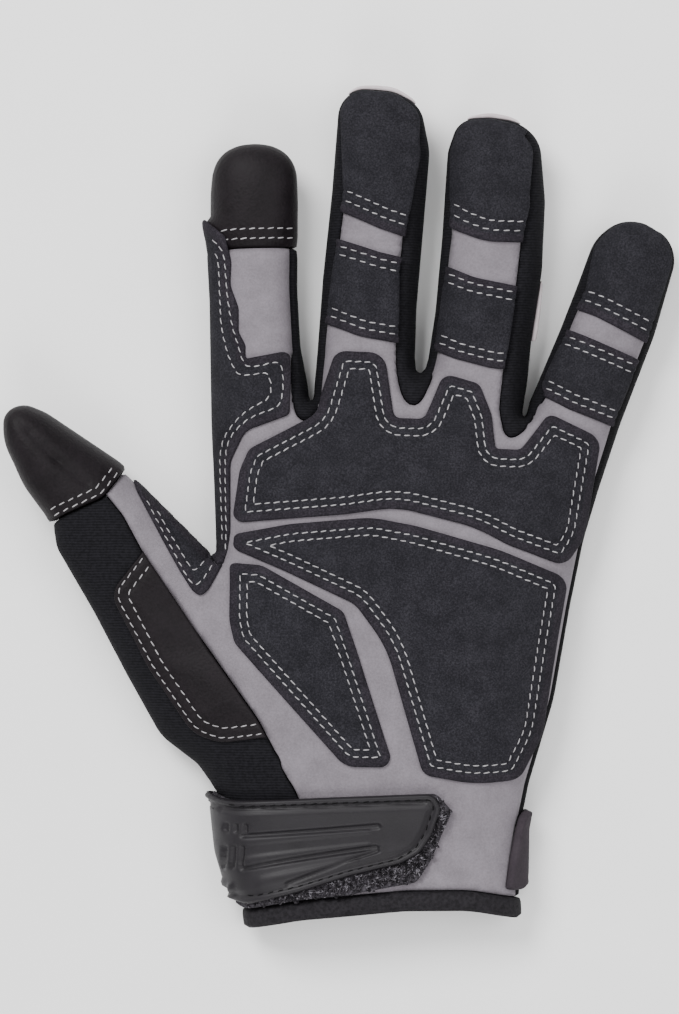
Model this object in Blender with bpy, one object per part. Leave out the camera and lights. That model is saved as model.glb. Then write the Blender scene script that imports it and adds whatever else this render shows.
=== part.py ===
"""A left mechanic glove that lies on its back with the palm up.

Metres, +Z up, the fingers towards +Y and the thumb towards -X. The glove is two sheets, the palm side and
the back, that meet at the side edge. Every piece is a part of these sheets, thickened along their normals.
Places are shares: across is a share of HAND_WIDTH, and along runs from 0 at the cuff to 1 at the finger
crotches, in shares of PALM_LENGTH, and on to 2 at the middle fingertip, in shares of FINGER_REACH.
"""

import math

import bpy
import numpy as np
from mathutils import Vector
from mathutils.geometry import delaunay_2d_cdt

# The hand
HAND_WIDTH = 0.110
PALM_LENGTH = 0.150
FINGER_REACH = 0.095

# The filled form
EDGE_HEIGHT = 0.008
FRONT_RISE = 0.015
FRONT_ROUND = 0.012
BACK_ROUND = 0.006
BACK_PRESS = 1.04
FINGER_CURL = 0.008
THUMB_CURL = 0.009
THUMB_START = -0.5

# Walls and gaps
CLOTH_WALL = 0.0012
PAD_WALL = 0.0010
CAP_PROUD = 0.0010
SEAM_GAP = 0.0003
LAYER_GAP = 0.00025
BINDING_HEIGHT = 0.0060
BINDING_DEPTH = 0.0018
BINDING_PROUD = 0.0002
BACK_STRIP = 0.0020
LOOP_WALL = 0.0013
COVER_WALL = 0.0015
TAB_WALL = 0.0024
GUARD_WALL = 0.0010
STRAP_END = -0.27
TAB_END = 0.28

# Sampling
STEP = 0.0072
GRID = 0.0086
BACK_GRID = 0.0120
ARC_TURN = math.radians(42)
OPEN_TAIL = 0.075
OVERRUN = 0.004
NEAREST_POINT = 0.0016
SAME_PLACE = 1e-7
BLOCK = 1500

# Shares of a length: how far a run may pass a step before it is cut, the most that a corner's arc takes
# of a straight side, how near grid points come to a path, and how far a seam gap may move an edge's end.
STEP_PASS = 0.3
ARC_SHARE = 0.48
GRID_CLEAR = 0.56
EDGE_PULL = 0.3
MOST_MITRE = 1.4

# Lines that cut the strap and the tab off on the back. Columns: across, lower end along, upper end along.
BACK_CUTS = [(STRAP_END, -0.04, 0.34), (TAB_END, 0.00, 0.30)]

# Heights of the layers above the sheets
LOOP_BASE = BINDING_PROUD + SEAM_GAP
COVER_BASE = LOOP_BASE + LOOP_WALL + SEAM_GAP
STRAP_TOP = COVER_BASE + COVER_WALL
TAB_TOP = LOOP_BASE + TAB_WALL

BACK, LITTLE, RING, MIDDLE, PALM, THUMB = (
    "back_panel", "fourchette_ring_little", "fourchette_middle_ring", "fourchette_index_middle",
    "palm_panel", "thumb_panel",
)

# The side edge, from the cuff's little-finger corner round the fingers and the thumb to its other corner.
# Columns: across, along, corner radius, width of the side strip seen on the palm side, and the piece that
# the strip belongs to. The radius and the width are shares of HAND_WIDTH.
SIDE_EDGE = [
    # wrist and hand, little-finger side
    (0.372, 0.012, 0.000, 0.008, BACK),
    (0.372, 0.088, 0.053, 0.008, BACK),
    (0.374, 0.185, 0.053, 0.008, BACK),
    (0.398, 0.273, 0.159, 0.008, BACK),
    (0.465, 0.438, 0.531, 0.008, BACK),
    (0.507, 0.615, 0.531, 0.007, BACK),
    (0.544, 0.749, 0.531, 0.007, BACK),
    (0.584, 0.847, 0.398, 0.016, BACK),
    # little finger
    (0.642, 0.975, 0.796, 0.019, BACK),
    (0.733, 1.235, 0.531, 0.016, BACK),
    (0.791, 1.471, 0.058, 0.011, BACK),
    (0.770, 1.539, 0.032, 0.008, BACK),
    (0.703, 1.588, 0.037, 0.007, LITTLE),
    (0.634, 1.588, 0.037, 0.007, LITTLE),
    (0.573, 1.533, 0.024, 0.008, LITTLE),
    (0.528, 1.391, 0.265, 0.021, LITTLE),
    (0.483, 1.256, 0.265, 0.016, LITTLE),
    (0.427, 1.102, 0.159, 0.011, LITTLE),
    (0.401, 1.032, 0.016, 0.017, LITTLE),
    (0.393, 0.997, 0.008, 0.021, LITTLE),
    (0.386, 0.989, 0.008, 0.040, LITTLE),
    (0.381, 0.997, 0.008, 0.058, LITTLE),
    # ring finger
    (0.386, 1.035, 0.021, 0.066, LITTLE),
    (0.394, 1.090, 0.159, 0.069, LITTLE),
    (0.406, 1.235, 0.159, 0.066, LITTLE),
    (0.433, 1.434, 0.212, 0.066, LITTLE),
    (0.441, 1.650, 0.265, 0.042, LITTLE),
    (0.427, 1.834, 0.058, 0.011, LITTLE),
    (0.372, 1.892, 0.080, 0.007, LITTLE),
    (0.292, 1.905, 0.159, 0.007, RING),
    (0.210, 1.899, 0.040, 0.007, RING),
    (0.181, 1.803, 0.053, 0.008, RING),
    (0.167, 1.542, 0.398, 0.019, RING),
    (0.149, 1.311, 0.398, 0.013, RING),
    (0.130, 1.164, 0.032, 0.011, RING),
    (0.123, 1.136, 0.011, 0.019, RING),
    (0.109, 1.118, 0.011, 0.074, RING),
    (0.097, 1.130, 0.008, 0.080, RING),
    # middle finger
    (0.094, 1.167, 0.016, 0.045, RING),
    (0.098, 1.318, 0.265, 0.048, RING),
    (0.114, 1.536, 0.398, 0.045, RING),
    (0.133, 1.803, 0.159, 0.019, RING),
    (0.109, 1.942, 0.058, 0.008, RING),
    (0.037, 1.991, 0.106, 0.007, RING),
    (-0.011, 1.995, 0.265, 0.007, MIDDLE),
    (-0.066, 2.000, 0.037, 0.007, MIDDLE),
    (-0.109, 1.951, 0.032, 0.008, MIDDLE),
    (-0.127, 1.680, 0.398, 0.029, MIDDLE),
    (-0.151, 1.419, 0.398, 0.024, MIDDLE),
    (-0.167, 1.173, 0.265, 0.011, MIDDLE),
    (-0.174, 1.081, 0.053, 0.011, MIDDLE),
    (-0.176, 1.047, 0.008, 0.013, MIDDLE),
    (-0.182, 1.033, 0.008, 0.037, MIDDLE),
    (-0.189, 1.047, 0.008, 0.040, MIDDLE),
    # index finger
    (-0.192, 1.081, 0.021, 0.034, MIDDLE),
    (-0.212, 1.204, 0.212, 0.013, MIDDLE),
    (-0.220, 1.373, 0.265, 0.012, MIDDLE),
    (-0.218, 1.696, 0.159, 0.015, MIDDLE),
    (-0.220, 1.791, 0.048, 0.011, PALM),
    (-0.255, 1.816, 0.066, 0.011, PALM),
    (-0.327, 1.825, 0.212, 0.011, PALM),
    (-0.409, 1.806, 0.042, 0.011, PALM),
    (-0.443, 1.739, 0.042, 0.011, PALM),
    (-0.443, 1.342, 0.531, 0.011, PALM),
    (-0.438, 0.983, 0.531, 0.011, PALM),
    (-0.427, 0.769, 0.398, 0.011, PALM),
    # thumb
    (-0.425, 0.693, 0.024, 0.011, PALM),
    (-0.653, 0.860, 0.159, 0.011, PALM),
    (-0.696, 0.894, 0.159, 0.011, PALM),
    (-0.892, 0.991, 0.048, 0.011, PALM),
    (-0.948, 1.013, 0.024, 0.011, THUMB),
    (-0.990, 0.993, 0.024, 0.011, THUMB),
    (-0.990, 0.944, 0.159, 0.011, THUMB),
    (-0.937, 0.858, 0.239, 0.011, THUMB),
    (-0.873, 0.794, 0.080, 0.011, THUMB),
    (-0.860, 0.734, 0.080, 0.011, THUMB),
    (-0.762, 0.609, 0.531, 0.011, THUMB),
    (-0.674, 0.485, 0.531, 0.011, THUMB),
    (-0.584, 0.366, 0.133, 0.011, THUMB),
    (-0.486, 0.311, 0.066, 0.011, THUMB),
    # wrist, thumb side
    (-0.454, 0.278, 0.032, 0.011, THUMB),
    (-0.419, 0.237, 0.053, 0.011, THUMB),
    (-0.406, 0.146, 0.159, 0.011, THUMB),
    (-0.372, 0.062, 0.080, 0.011, THUMB),
    (-0.358, -0.006, 0.000, 0.011, THUMB),
]

# The cuff's edge between its two corners. Columns: across, along, corner radius.
CUFF_EDGE = [
    (-0.212, 0.009, 0.531),
    (0.066, 0.028, 0.531),
    (0.239, 0.028, 0.398),
]

# Outlines on the palm side. Columns: across, along, corner radius.
OUTLINES = {
    "knuckle_pad": [
        (-0.388, 0.783, 0.024),
        (-0.090, 0.800, 0.398),
        (0.045, 0.814, 0.265),
        (0.250, 0.775, 0.398),
        (0.340, 0.740, 0.212),
        (0.488, 0.699, 0.037),
        (0.539, 0.755, 0.159),
        (0.560, 0.847, 0.398),
        (0.584, 0.948, 0.042),
        (0.449, 0.995, 0.024),
        (0.372, 0.925, 0.024),
        (0.305, 0.927, 0.013),
        (0.295, 0.993, 0.080),
        (0.263, 1.084, 0.032),
        (0.170, 1.115, 0.032),
        (0.117, 0.985, 0.024),
        (0.037, 0.987, 0.021),
        (0.011, 1.179, 0.048),
        (-0.114, 1.185, 0.032),
        (-0.165, 0.995, 0.066),
        (-0.345, 0.927, 0.032),
        (-0.369, 0.886, 0.106),
    ],
    "heel_pad": [
        (-0.382, 0.761, 0.016),
        (-0.385, 0.732, 0.019),
        (-0.250, 0.689, 0.265),
        (-0.066, 0.625, 0.080),
        (0.016, 0.543, 0.319),
        (0.114, 0.294, 0.037),
        (0.250, 0.276, 0.398),
        (0.366, 0.284, 0.048),
        (0.427, 0.370, 0.212),
        (0.467, 0.555, 0.531),
        (0.496, 0.675, 0.042),
        (0.319, 0.730, 0.531),
        (0.098, 0.777, 0.398),
        (-0.021, 0.794, 0.265),
        (-0.239, 0.781, 0.398),
    ],
    "thumb_base_pad": [
        (-0.396, 0.705, 0.016),
        (-0.313, 0.701, 0.066),
        (-0.098, 0.611, 0.032),
        (-0.056, 0.520, 0.398),
        (0.037, 0.308, 0.027),
        (-0.093, 0.310, 0.066),
        (-0.385, 0.551, 0.053),
        (-0.398, 0.594, 0.159),
    ],
    "index_side_patch": [
        (-0.480, 1.607, 0.000),
        (-0.409, 1.539, 0.021),
        (-0.393, 1.459, 0.053),
        (-0.396, 1.388, 0.053),
        (-0.374, 1.318, 0.040),
        (-0.374, 1.244, 0.027),
        (-0.356, 1.204, 0.021),
        (-0.356, 1.161, 0.008),
        (-0.244, 1.185, 0.016),
        (-0.239, 1.096, 0.106),
        (-0.239, 0.993, 0.016),
        (-0.356, 0.962, 0.053),
        (-0.396, 0.901, 0.066),
        (-0.396, 0.769, 0.106),
        (-0.409, 0.718, 0.000),
        (-0.478, 0.732, 0.000),
    ],
    "crotch_patch": [
        (-0.674, 0.894, 0.000),
        (-0.648, 0.851, 0.053),
        (-0.611, 0.783, 0.212),
        (-0.512, 0.654, 0.027),
        (-0.475, 0.635, 0.021),
        (-0.443, 0.660, 0.032),
        (-0.409, 0.690, 0.000),
        (-0.478, 0.730, 0.000),
    ],
    "thumb_patch": [
        (-0.605, 0.749, 0.000),
        (-0.714, 0.648, 0.058),
        (-0.611, 0.500, 0.398),
        (-0.494, 0.374, 0.106),
        (-0.419, 0.356, 0.106),
        (-0.250, 0.372, 0.000),
    ],
    "thumb_panel": [
        (-0.757, 0.870, 0.000),
        (-0.680, 0.800, 0.159),
        (-0.621, 0.718, 0.265),
        (-0.467, 0.549, 0.531),
        (-0.324, 0.401, 0.265),
        (-0.271, 0.327, 0.212),
        (-0.210, 0.237, 0.265),
        (-0.133, -0.019, 0.000),
        (-0.531, -0.019, 0.000),
        (-1.088, 0.711, 0.000),
        (-0.929, 0.944, 0.000),
    ],
    "thumb_cap": [
        (-0.876, 0.783, 0.000),
        (-0.844, 0.796, 0.053),
        (-0.733, 0.833, 0.053),
        (-0.690, 0.874, 0.027),
        (-0.677, 0.890, 0.000),
        (-0.611, 0.944, 0.000),
        (-0.903, 1.096, 0.000),
        (-1.062, 1.096, 0.000),
        (-1.062, 0.769, 0.000),
    ],
    "index_cap": [
        (-0.504, 1.480, 0.000),
        (-0.393, 1.499, 0.398),
        (-0.186, 1.505, 0.000),
        (-0.159, 1.895, 0.000),
        (-0.504, 1.895, 0.000),
    ],
    "strap_loop": [
        (-0.504, 0.280, 0.000),
        (-0.388, 0.237, 0.106),
        (-0.175, 0.243, 0.398),
        (0.149, 0.253, 0.027),
        (0.191, 0.224, 0.021),
        (0.133, 0.123, 0.053),
        (0.096, 0.084, 0.027),
        (-0.056, 0.064, 0.159),
        (-0.212, 0.033, 0.159),
        (-0.345, 0.031, 0.053),
        (-0.465, 0.068, 0.000),
    ],
    "strap_cover": [
        (-0.504, 0.273, 0.000),
        (-0.388, 0.230, 0.106),
        (-0.175, 0.237, 0.398),
        (0.141, 0.245, 0.021),
        (0.159, 0.228, 0.021),
        (0.082, 0.150, 0.053),
        (-0.056, 0.093, 0.159),
        (-0.239, 0.053, 0.159),
        (-0.345, 0.043, 0.053),
        (-0.465, 0.076, 0.000),
    ],
    "cuff_tab": [
        (0.364, 0.226, 0.000),
        (0.348, 0.148, 0.053),
        (0.334, 0.074, 0.000),
        (0.438, 0.074, 0.000),
        (0.438, 0.226, 0.000),
    ],
}

# Lines across a finger, from its thumb side to its little-finger side. Columns: across, along.
FINGER_LINES = {
    "middle_tip": [(-0.190, 1.662), (-0.106, 1.616), (0.000, 1.560), (0.125, 1.512)],
    "middle_mid_top": [(-0.190, 1.561), (-0.111, 1.530), (0.000, 1.487), (0.125, 1.453)],
    "middle_mid_low": [(-0.190, 1.304), (-0.135, 1.268), (-0.050, 1.228), (0.125, 1.194)],
    "middle_end": [(-0.180, 2.150), (0.155, 2.150)],
    "ring_tip": [(0.145, 1.600), (0.207, 1.554), (0.279, 1.520), (0.478, 1.517)],
    "ring_mid_top": [(0.142, 1.465), (0.250, 1.410), (0.358, 1.385), (0.460, 1.372)],
    "ring_mid_low": [(0.115, 1.207), (0.199, 1.161), (0.300, 1.130), (0.415, 1.126)],
    "ring_end": [(0.155, 2.050), (0.490, 2.050)],
    "little_tip": [(0.451, 1.348), (0.571, 1.293), (0.709, 1.210), (0.823, 1.152)],
    "little_mid_top": [(0.438, 1.281), (0.550, 1.228), (0.690, 1.158), (0.796, 1.105)],
    "little_mid_low": [(0.405, 1.066), (0.499, 1.007), (0.624, 0.969), (0.730, 0.940)],
    "little_end": [(0.530, 1.750), (0.900, 1.650)],
    "middle_guard_low": [(-0.180, 1.860), (0.155, 1.840)],
    "ring_guard_low": [(0.155, 1.780), (0.490, 1.760)],
    "ring_side_top": [(0.390, 1.400), (0.475, 1.410)],
    "ring_side_low": [(0.370, 1.225), (0.440, 1.215)],
}

# Patches between two finger lines: name, upper line, lower line.
FINGER_PATCHES = [
    ("middle_tip_patch", "middle_end", "middle_tip"),
    ("middle_mid_patch", "middle_mid_top", "middle_mid_low"),
    ("ring_tip_patch", "ring_end", "ring_tip"),
    ("ring_mid_patch", "ring_mid_top", "ring_mid_low"),
    ("little_tip_patch", "little_end", "little_tip"),
    ("little_mid_patch", "little_mid_top", "little_mid_low"),
]
# Pieces that wrap round the side edge onto the back
WRAPPED = (
    "index_side_patch", "crotch_patch", "strap_loop", "strap_cover", "cuff_tab", "ring_side_guard",
)

# Guards over the back, between two finger lines: name, upper line, lower line.
BACK_GUARDS = [
    ("middle_tip_guard", "middle_end", "middle_guard_low"),
    ("ring_tip_guard", "ring_end", "ring_guard_low"),
    ("ring_side_guard", "ring_side_top", "ring_side_low"),
]

# Rises and hollows of the palm side, in order: the hollow of the palm, the ball of the thumb, the heel of the
# hand, the dent at the thumb's root, and the wrist below the strap. Columns: across, along, reach across,
# reach along, height as a share of FRONT_RISE.
MOUNDS = [
    (0.02, 0.62, 0.16, 0.22, -0.20),
    (-0.24, 0.50, 0.14, 0.16, 0.12),
    (0.30, 0.45, 0.14, 0.22, 0.10),
    (-0.50, 0.62, 0.10, 0.12, -0.22),
    (-0.05, 0.16, 0.60, 0.09, -0.25),
]

# Places where the back is raised over a piece that wraps round the edge, in order: the strap, the tab and the
# cuff binding. Columns: across, along, reach across, reach along, height in metres.
BACK_LIFTS = [
    (-0.45, 0.155, 0.32, 0.24, STRAP_TOP + 3 * SEAM_GAP),
    (0.37, 0.150, 0.20, 0.16, TAB_TOP + 3 * SEAM_GAP),
    (0.00, 0.010, 0.60, 0.10, BINDING_PROUD + 2 * SEAM_GAP),
]

# Colours of the pieces: base colour, roughness.
CLOTH_COLOURS = {
    "palm_panel": ((0.31, 0.29, 0.31), 0.9),
    "back_panel": ((0.018, 0.017, 0.019), 0.85),
    "cuff_binding": ((0.022, 0.021, 0.023), 0.8),
    "index_cap": ((0.018, 0.016, 0.017), 0.6),
    "thumb_cap": ((0.018, 0.016, 0.017), 0.6),
    "thumb_panel": ((0.018, 0.017, 0.019), 0.85),
    "thumb_patch": ((0.020, 0.019, 0.021), 0.7),
    "strap_loop": ((0.035, 0.033, 0.037), 0.95),
    "strap_cover": ((0.050, 0.045, 0.050), 0.5),
    "cuff_tab": ((0.070, 0.060, 0.066), 0.8),
}
BLACK_KNIT = ((0.016, 0.015, 0.017), 0.85)
CHARCOAL = ((0.034, 0.032, 0.036), 0.75)
PALE_RUBBER = ((0.55, 0.50, 0.52), 0.5)


def place(across, along):
    """Plan position of a share pair."""
    palm = min(along, 1.0) * PALM_LENGTH
    finger = max(along - 1.0, 0.0) * FINGER_REACH
    return across * HAND_WIDTH, palm + finger


def shares(xy):
    """Share pairs of plan positions."""
    along = np.where(
        xy[:, 1] < PALM_LENGTH, xy[:, 1] / PALM_LENGTH, 1 + (xy[:, 1] - PALM_LENGTH) / FINGER_REACH
    )
    return xy[:, 0] / HAND_WIDTH, along


def subdivided(path, step):
    """The path with every long straight run cut into steps. Each row holds x, y and any carried values."""
    rows = [path[0]]
    for start, end in zip(path[:-1], path[1:]):
        count = max(1, math.ceil(np.hypot(*(end - start)[:2]) / step - STEP_PASS))
        rows.extend(start + (end - start) * k / count for k in range(1, count + 1))
    return np.array(rows)


def rounded(rows, step, closed=True):
    """The outline with an arc at each corner. Rows: x, y, radius and any values carried along."""
    corners = np.array([(*place(row[0], row[1]), row[2] * HAND_WIDTH, *row[3:]) for row in rows])
    count = len(corners)
    path = []
    for k, corner in enumerate(corners):
        point, radius, carried = corner[:2], corner[2], corner[3:]
        if radius <= 0 or (not closed and k in (0, count - 1)):
            path.append(np.concatenate([point, carried]))
            continue
        before = corners[k - 1][:2] - point
        after = corners[(k + 1) % count][:2] - point
        before_length, after_length = np.hypot(*before), np.hypot(*after)
        before, after = before / before_length, after / after_length
        inner = math.acos(max(-1.0, min(1.0, float(before @ after))))
        turn = math.pi - inner
        reach = min(radius * math.tan(turn / 2), ARC_SHARE * before_length, ARC_SHARE * after_length)
        radius = reach / math.tan(turn / 2) if turn > 1e-4 else 0
        pieces = max(1, math.ceil(max(turn / ARC_TURN, radius * turn / step) - 0.2))
        start, end = point + before * reach, point + after * reach
        weight = math.cos(turn / 2)
        for piece in range(pieces + 1):
            t = piece / pieces
            a, b, c = (1 - t) ** 2, 2 * t * (1 - t) * weight, t**2
            spot = (a * start + b * point + c * end) / (a + b + c)
            path.append(np.concatenate([spot, carried]))
    if closed:
        path.append(path[0])
    path = subdivided(np.array(path), step)
    if closed:
        path = path[:-1]
    keep = np.hypot(*(path - np.roll(path, 1, axis=0))[:, :2].T) > 1e-5
    return path[keep]


def inside(xy, ring):
    """Whether each plan position lies in the closed ring."""
    x, y = xy[:, 0][:, None], xy[:, 1][:, None]
    ax, ay = ring[:, 0], ring[:, 1]
    bx, by = np.roll(ax, -1), np.roll(ay, -1)
    crosses = (ay > y) != (by > y)
    rise = np.where(by == ay, 1.0, by - ay)
    return ((x < (bx - ax) * (y - ay) / rise + ax) & crosses).sum(axis=1) % 2 == 1


def smooth_distance(xy, ring):
    """A smooth distance to the ring: the distance near one edge, and less where edges face each other."""
    found = np.zeros(len(xy))
    for start in range(0, len(xy), BLOCK):
        block = xy[start:start + BLOCK]
        arm = ring[None, :, :] - block[:, None, :]
        length = np.maximum(np.hypot(arm[..., 0], arm[..., 1]), 1e-9)
        after, after_length = np.roll(arm, -1, axis=1), np.roll(length, -1, axis=1)
        cross = arm[..., 0] * after[..., 1] - arm[..., 1] * after[..., 0]
        dot = (arm * after).sum(axis=2)
        half_tangent = cross / np.maximum(length * after_length + dot, 1e-12)
        total = ((1 / length + 1 / after_length) * half_tangent).sum(axis=1)
        found[start:start + BLOCK] = 2 / np.maximum(total, 1e-6)
    return found


def curl(xy):
    """How far the fingertips and the thumb rise towards the palm side."""
    across, along = shares(xy)
    finger = np.clip(along - 1, 0, None) ** 2 * FINGER_CURL
    thumb = np.clip((THUMB_START - across) / (1 + THUMB_START), 0, None) ** 2 * THUMB_CURL
    return finger + thumb


def front_height(xy, depth):
    """Height of the palm side, for the smooth distance from the side edge."""
    across, along = shares(xy)
    full = np.tanh(depth / FRONT_ROUND)
    height = EDGE_HEIGHT + curl(xy) + FRONT_RISE * np.sqrt(full)
    for at_across, at_along, reach_across, reach_along, share in MOUNDS:
        off = ((across - at_across) / reach_across) ** 2 + ((along - at_along) / reach_along) ** 2
        height += FRONT_RISE * share * full * np.exp(-off)
    return height


def back_height(xy, depth):
    """Height of the back, flattened where it rests."""
    across, along = shares(xy)
    pressed = np.clip(1 - BACK_PRESS * np.sqrt(np.tanh(depth / BACK_ROUND)), 0, None)
    height = np.zeros(len(xy))
    for at_across, at_along, reach_across, reach_along, lift in BACK_LIFTS:
        off = ((across - at_across) / reach_across) ** 4 + ((along - at_along) / reach_along) ** 4
        height = np.maximum(height, lift * np.exp(-off))
    return curl(xy) + height + (EDGE_HEIGHT - height) * pressed


def inward(path):
    """Unit vectors to the left of an open path, at its points."""
    run = np.diff(path[:, :2], axis=0)
    left = np.stack([-run[:, 1], run[:, 0]], axis=1)
    left /= np.hypot(*left.T)[:, None]
    both = np.vstack([left[:1], left[:-1] + left[1:], left[-1:]])
    return both / np.hypot(*both.T)[:, None]


def inset(path, widths):
    """The path moved inwards by its widths, with both ends run on past the cuff."""
    moved = path[:, :2] + inward(path) * widths[:, None]
    first = moved[0] - (moved[1] - moved[0]) / np.hypot(*(moved[1] - moved[0])) * OVERRUN
    last = moved[-1] - (moved[-2] - moved[-1]) / np.hypot(*(moved[-2] - moved[-1])) * OVERRUN
    return np.vstack([first, moved, last])


def meetings(first, second):
    """Where two paths cross: the place along each, as segment number plus share, and the point."""
    start, run = first[:-1, None, :2], np.diff(first[:, :2], axis=0)[:, None, :]
    other, cut = second[None, :-1, :2], np.diff(second[:, :2], axis=0)[None, :, :]
    base = run[..., 0] * cut[..., 1] - run[..., 1] * cut[..., 0]
    base = np.where(np.abs(base) < 1e-15, np.nan, base)
    off = other - start
    on_first = (off[..., 0] * cut[..., 1] - off[..., 1] * cut[..., 0]) / base
    on_second = (off[..., 0] * run[..., 1] - off[..., 1] * run[..., 0]) / base
    low, high = SAME_PLACE, 1 - SAME_PLACE
    hit = (on_first > low) & (on_first < high) & (on_second > low) & (on_second < high)
    found = []
    for i, j in np.argwhere(hit):
        spot = first[i, :2] + (first[i + 1, :2] - first[i, :2]) * on_first[i, j]
        found.append((i + on_first[i, j], j + on_second[i, j], spot))
    return found


def woven(paths, kept=()):
    """The paths with a shared point wherever two of them cross, and no loose point close beside it."""
    added = [[] for _ in paths]
    for i, first in enumerate(paths):
        for j in range(i + 1, len(paths)):
            for on_first, on_second, point in meetings(first, paths[j]):
                added[i].append((on_first, point))
                added[j].append((on_second, point))
    kept = np.array([*kept]).reshape(-1, 2)
    return [thinned(path, places, kept) for path, places in zip(paths, added)]


def thinned(path, places, kept):
    """The path with its meeting points put in and its own points close to them left out."""
    if not places:
        return path
    spots = np.array([point for _, point in places])
    closed = bool((path[0, :2] == path[-1, :2]).all())
    rows = []
    for k, row in enumerate(path):
        near = np.hypot(*(spots - row[:2]).T).min() < NEAREST_POINT
        end = k in (0, len(path) - 1)
        fixed = (end and closed) or (len(kept) and np.hypot(*(kept - row[:2]).T).min() < SAME_PLACE)
        if fixed or not near:
            rows.append((k, row))
    for place_along, point in places:
        k = int(place_along)
        row = path[k] + (path[k + 1] - path[k]) * (place_along - k)
        row[:2] = point
        rows.append((place_along, row))
    return np.array([row for _, row in sorted(rows, key=lambda item: item[0])])


def closed_path(ring):
    return np.vstack([ring, ring[:1]])


def grid_points(ring, paths, spacing):
    """A triangular grid inside the ring that stays clear of the paths."""
    low, high = ring.min(axis=0), ring.max(axis=0)
    rows = np.arange(low[1], high[1], spacing * math.sqrt(0.75))
    spots = [
        (x, y)
        for k, y in enumerate(rows)
        for x in np.arange(low[0] + (k % 2) * spacing / 2, high[0], spacing)
    ]
    spots = np.array(spots)
    spots = spots[inside(spots, ring)]
    marks = np.vstack([subdivided(path[:, :2], spacing / 3) for path in paths])
    nearest = np.array([np.hypot(*(marks - spot).T).min() for spot in spots])
    return spots[nearest > GRID_CLEAR * spacing]


def triangulated(ring, paths, spacing):
    """Plan triangles of the ring's inside, with an edge along every path. The ring's points come first."""
    points = [Vector(p) for p in ring]
    edges = [(k, (k + 1) % len(ring)) for k in range(len(ring))]
    for path in paths:
        first = len(points)
        points.extend(Vector(p) for p in path)
        edges.extend((first + k, first + k + 1) for k in range(len(path) - 1))
    extra = grid_points(ring, [closed_path(ring), *paths], spacing)
    points.extend(Vector(p) for p in extra)
    made = delaunay_2d_cdt(points, edges, [], 0, 1e-6, True)
    xy = np.array([tuple(p) for p in made[0]])
    faces = np.array([tuple(f) for f in made[2]])
    faces = faces[inside(xy[faces].mean(axis=1), ring)]
    used, index = np.unique(faces, return_inverse=True)
    owner = np.full(len(xy), -1)
    for k, sources in enumerate(made[3]):
        if min(sources, default=len(ring)) < len(ring):
            owner[k] = min(sources)
    a, b, c = (xy[faces[:, k]] for k in range(3))
    turn = (b - a)[:, 0] * (c - a)[:, 1] - (b - a)[:, 1] * (c - a)[:, 0]
    faces = index.reshape(-1, 3)
    faces[turn < 0] = faces[turn < 0][:, ::-1]
    return xy[used], faces, owner[used]


def face_normals(points, faces):
    a, b, c = (points[faces[:, k]] for k in range(3))
    return np.cross(b - a, c - a)


def vertex_normals(points, faces):
    """Unit normals that lean on the larger faces, and how far to go along them to move a face by one."""
    weighted = face_normals(points, faces)
    total = np.zeros_like(points)
    for k in range(3):
        np.add.at(total, faces[:, k], weighted)
    total /= np.maximum(np.linalg.norm(total, axis=1), 1e-12)[:, None]
    unit = weighted / np.maximum(np.linalg.norm(weighted, axis=1), 1e-15)[:, None]
    cosine, count = np.zeros(len(points)), np.zeros(len(points))
    for k in range(3):
        np.add.at(cosine, faces[:, k], (unit * total[faces[:, k]]).sum(axis=1))
        np.add.at(count, faces[:, k], 1)
    mitre = np.clip(np.maximum(count, 1) / np.maximum(cosine, 1e-6), 1, MOST_MITRE)
    return total, mitre


def fans(faces):
    """Each corner's vertex number after vertices that join two separate fans of faces are parted."""
    parent = {}

    def root(item):
        while parent.setdefault(item, item) != item:
            item = parent[item]
        return item

    edges = {}
    for number, face in enumerate(faces):
        for k in range(3):
            edges.setdefault(tuple(sorted((face[k], face[(k + 1) % 3]))), []).append(number)
    for ends, pair in edges.items():
        if len(pair) == 2:
            for end in ends:
                parent[root((end, pair[0]))] = root((end, pair[1]))
    names = {}
    corners = [[names.setdefault(root((v, n)), len(names)) for v in face] for n, face in enumerate(faces)]
    source = np.array([item[0] for item in names])
    return np.array(corners), source


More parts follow.
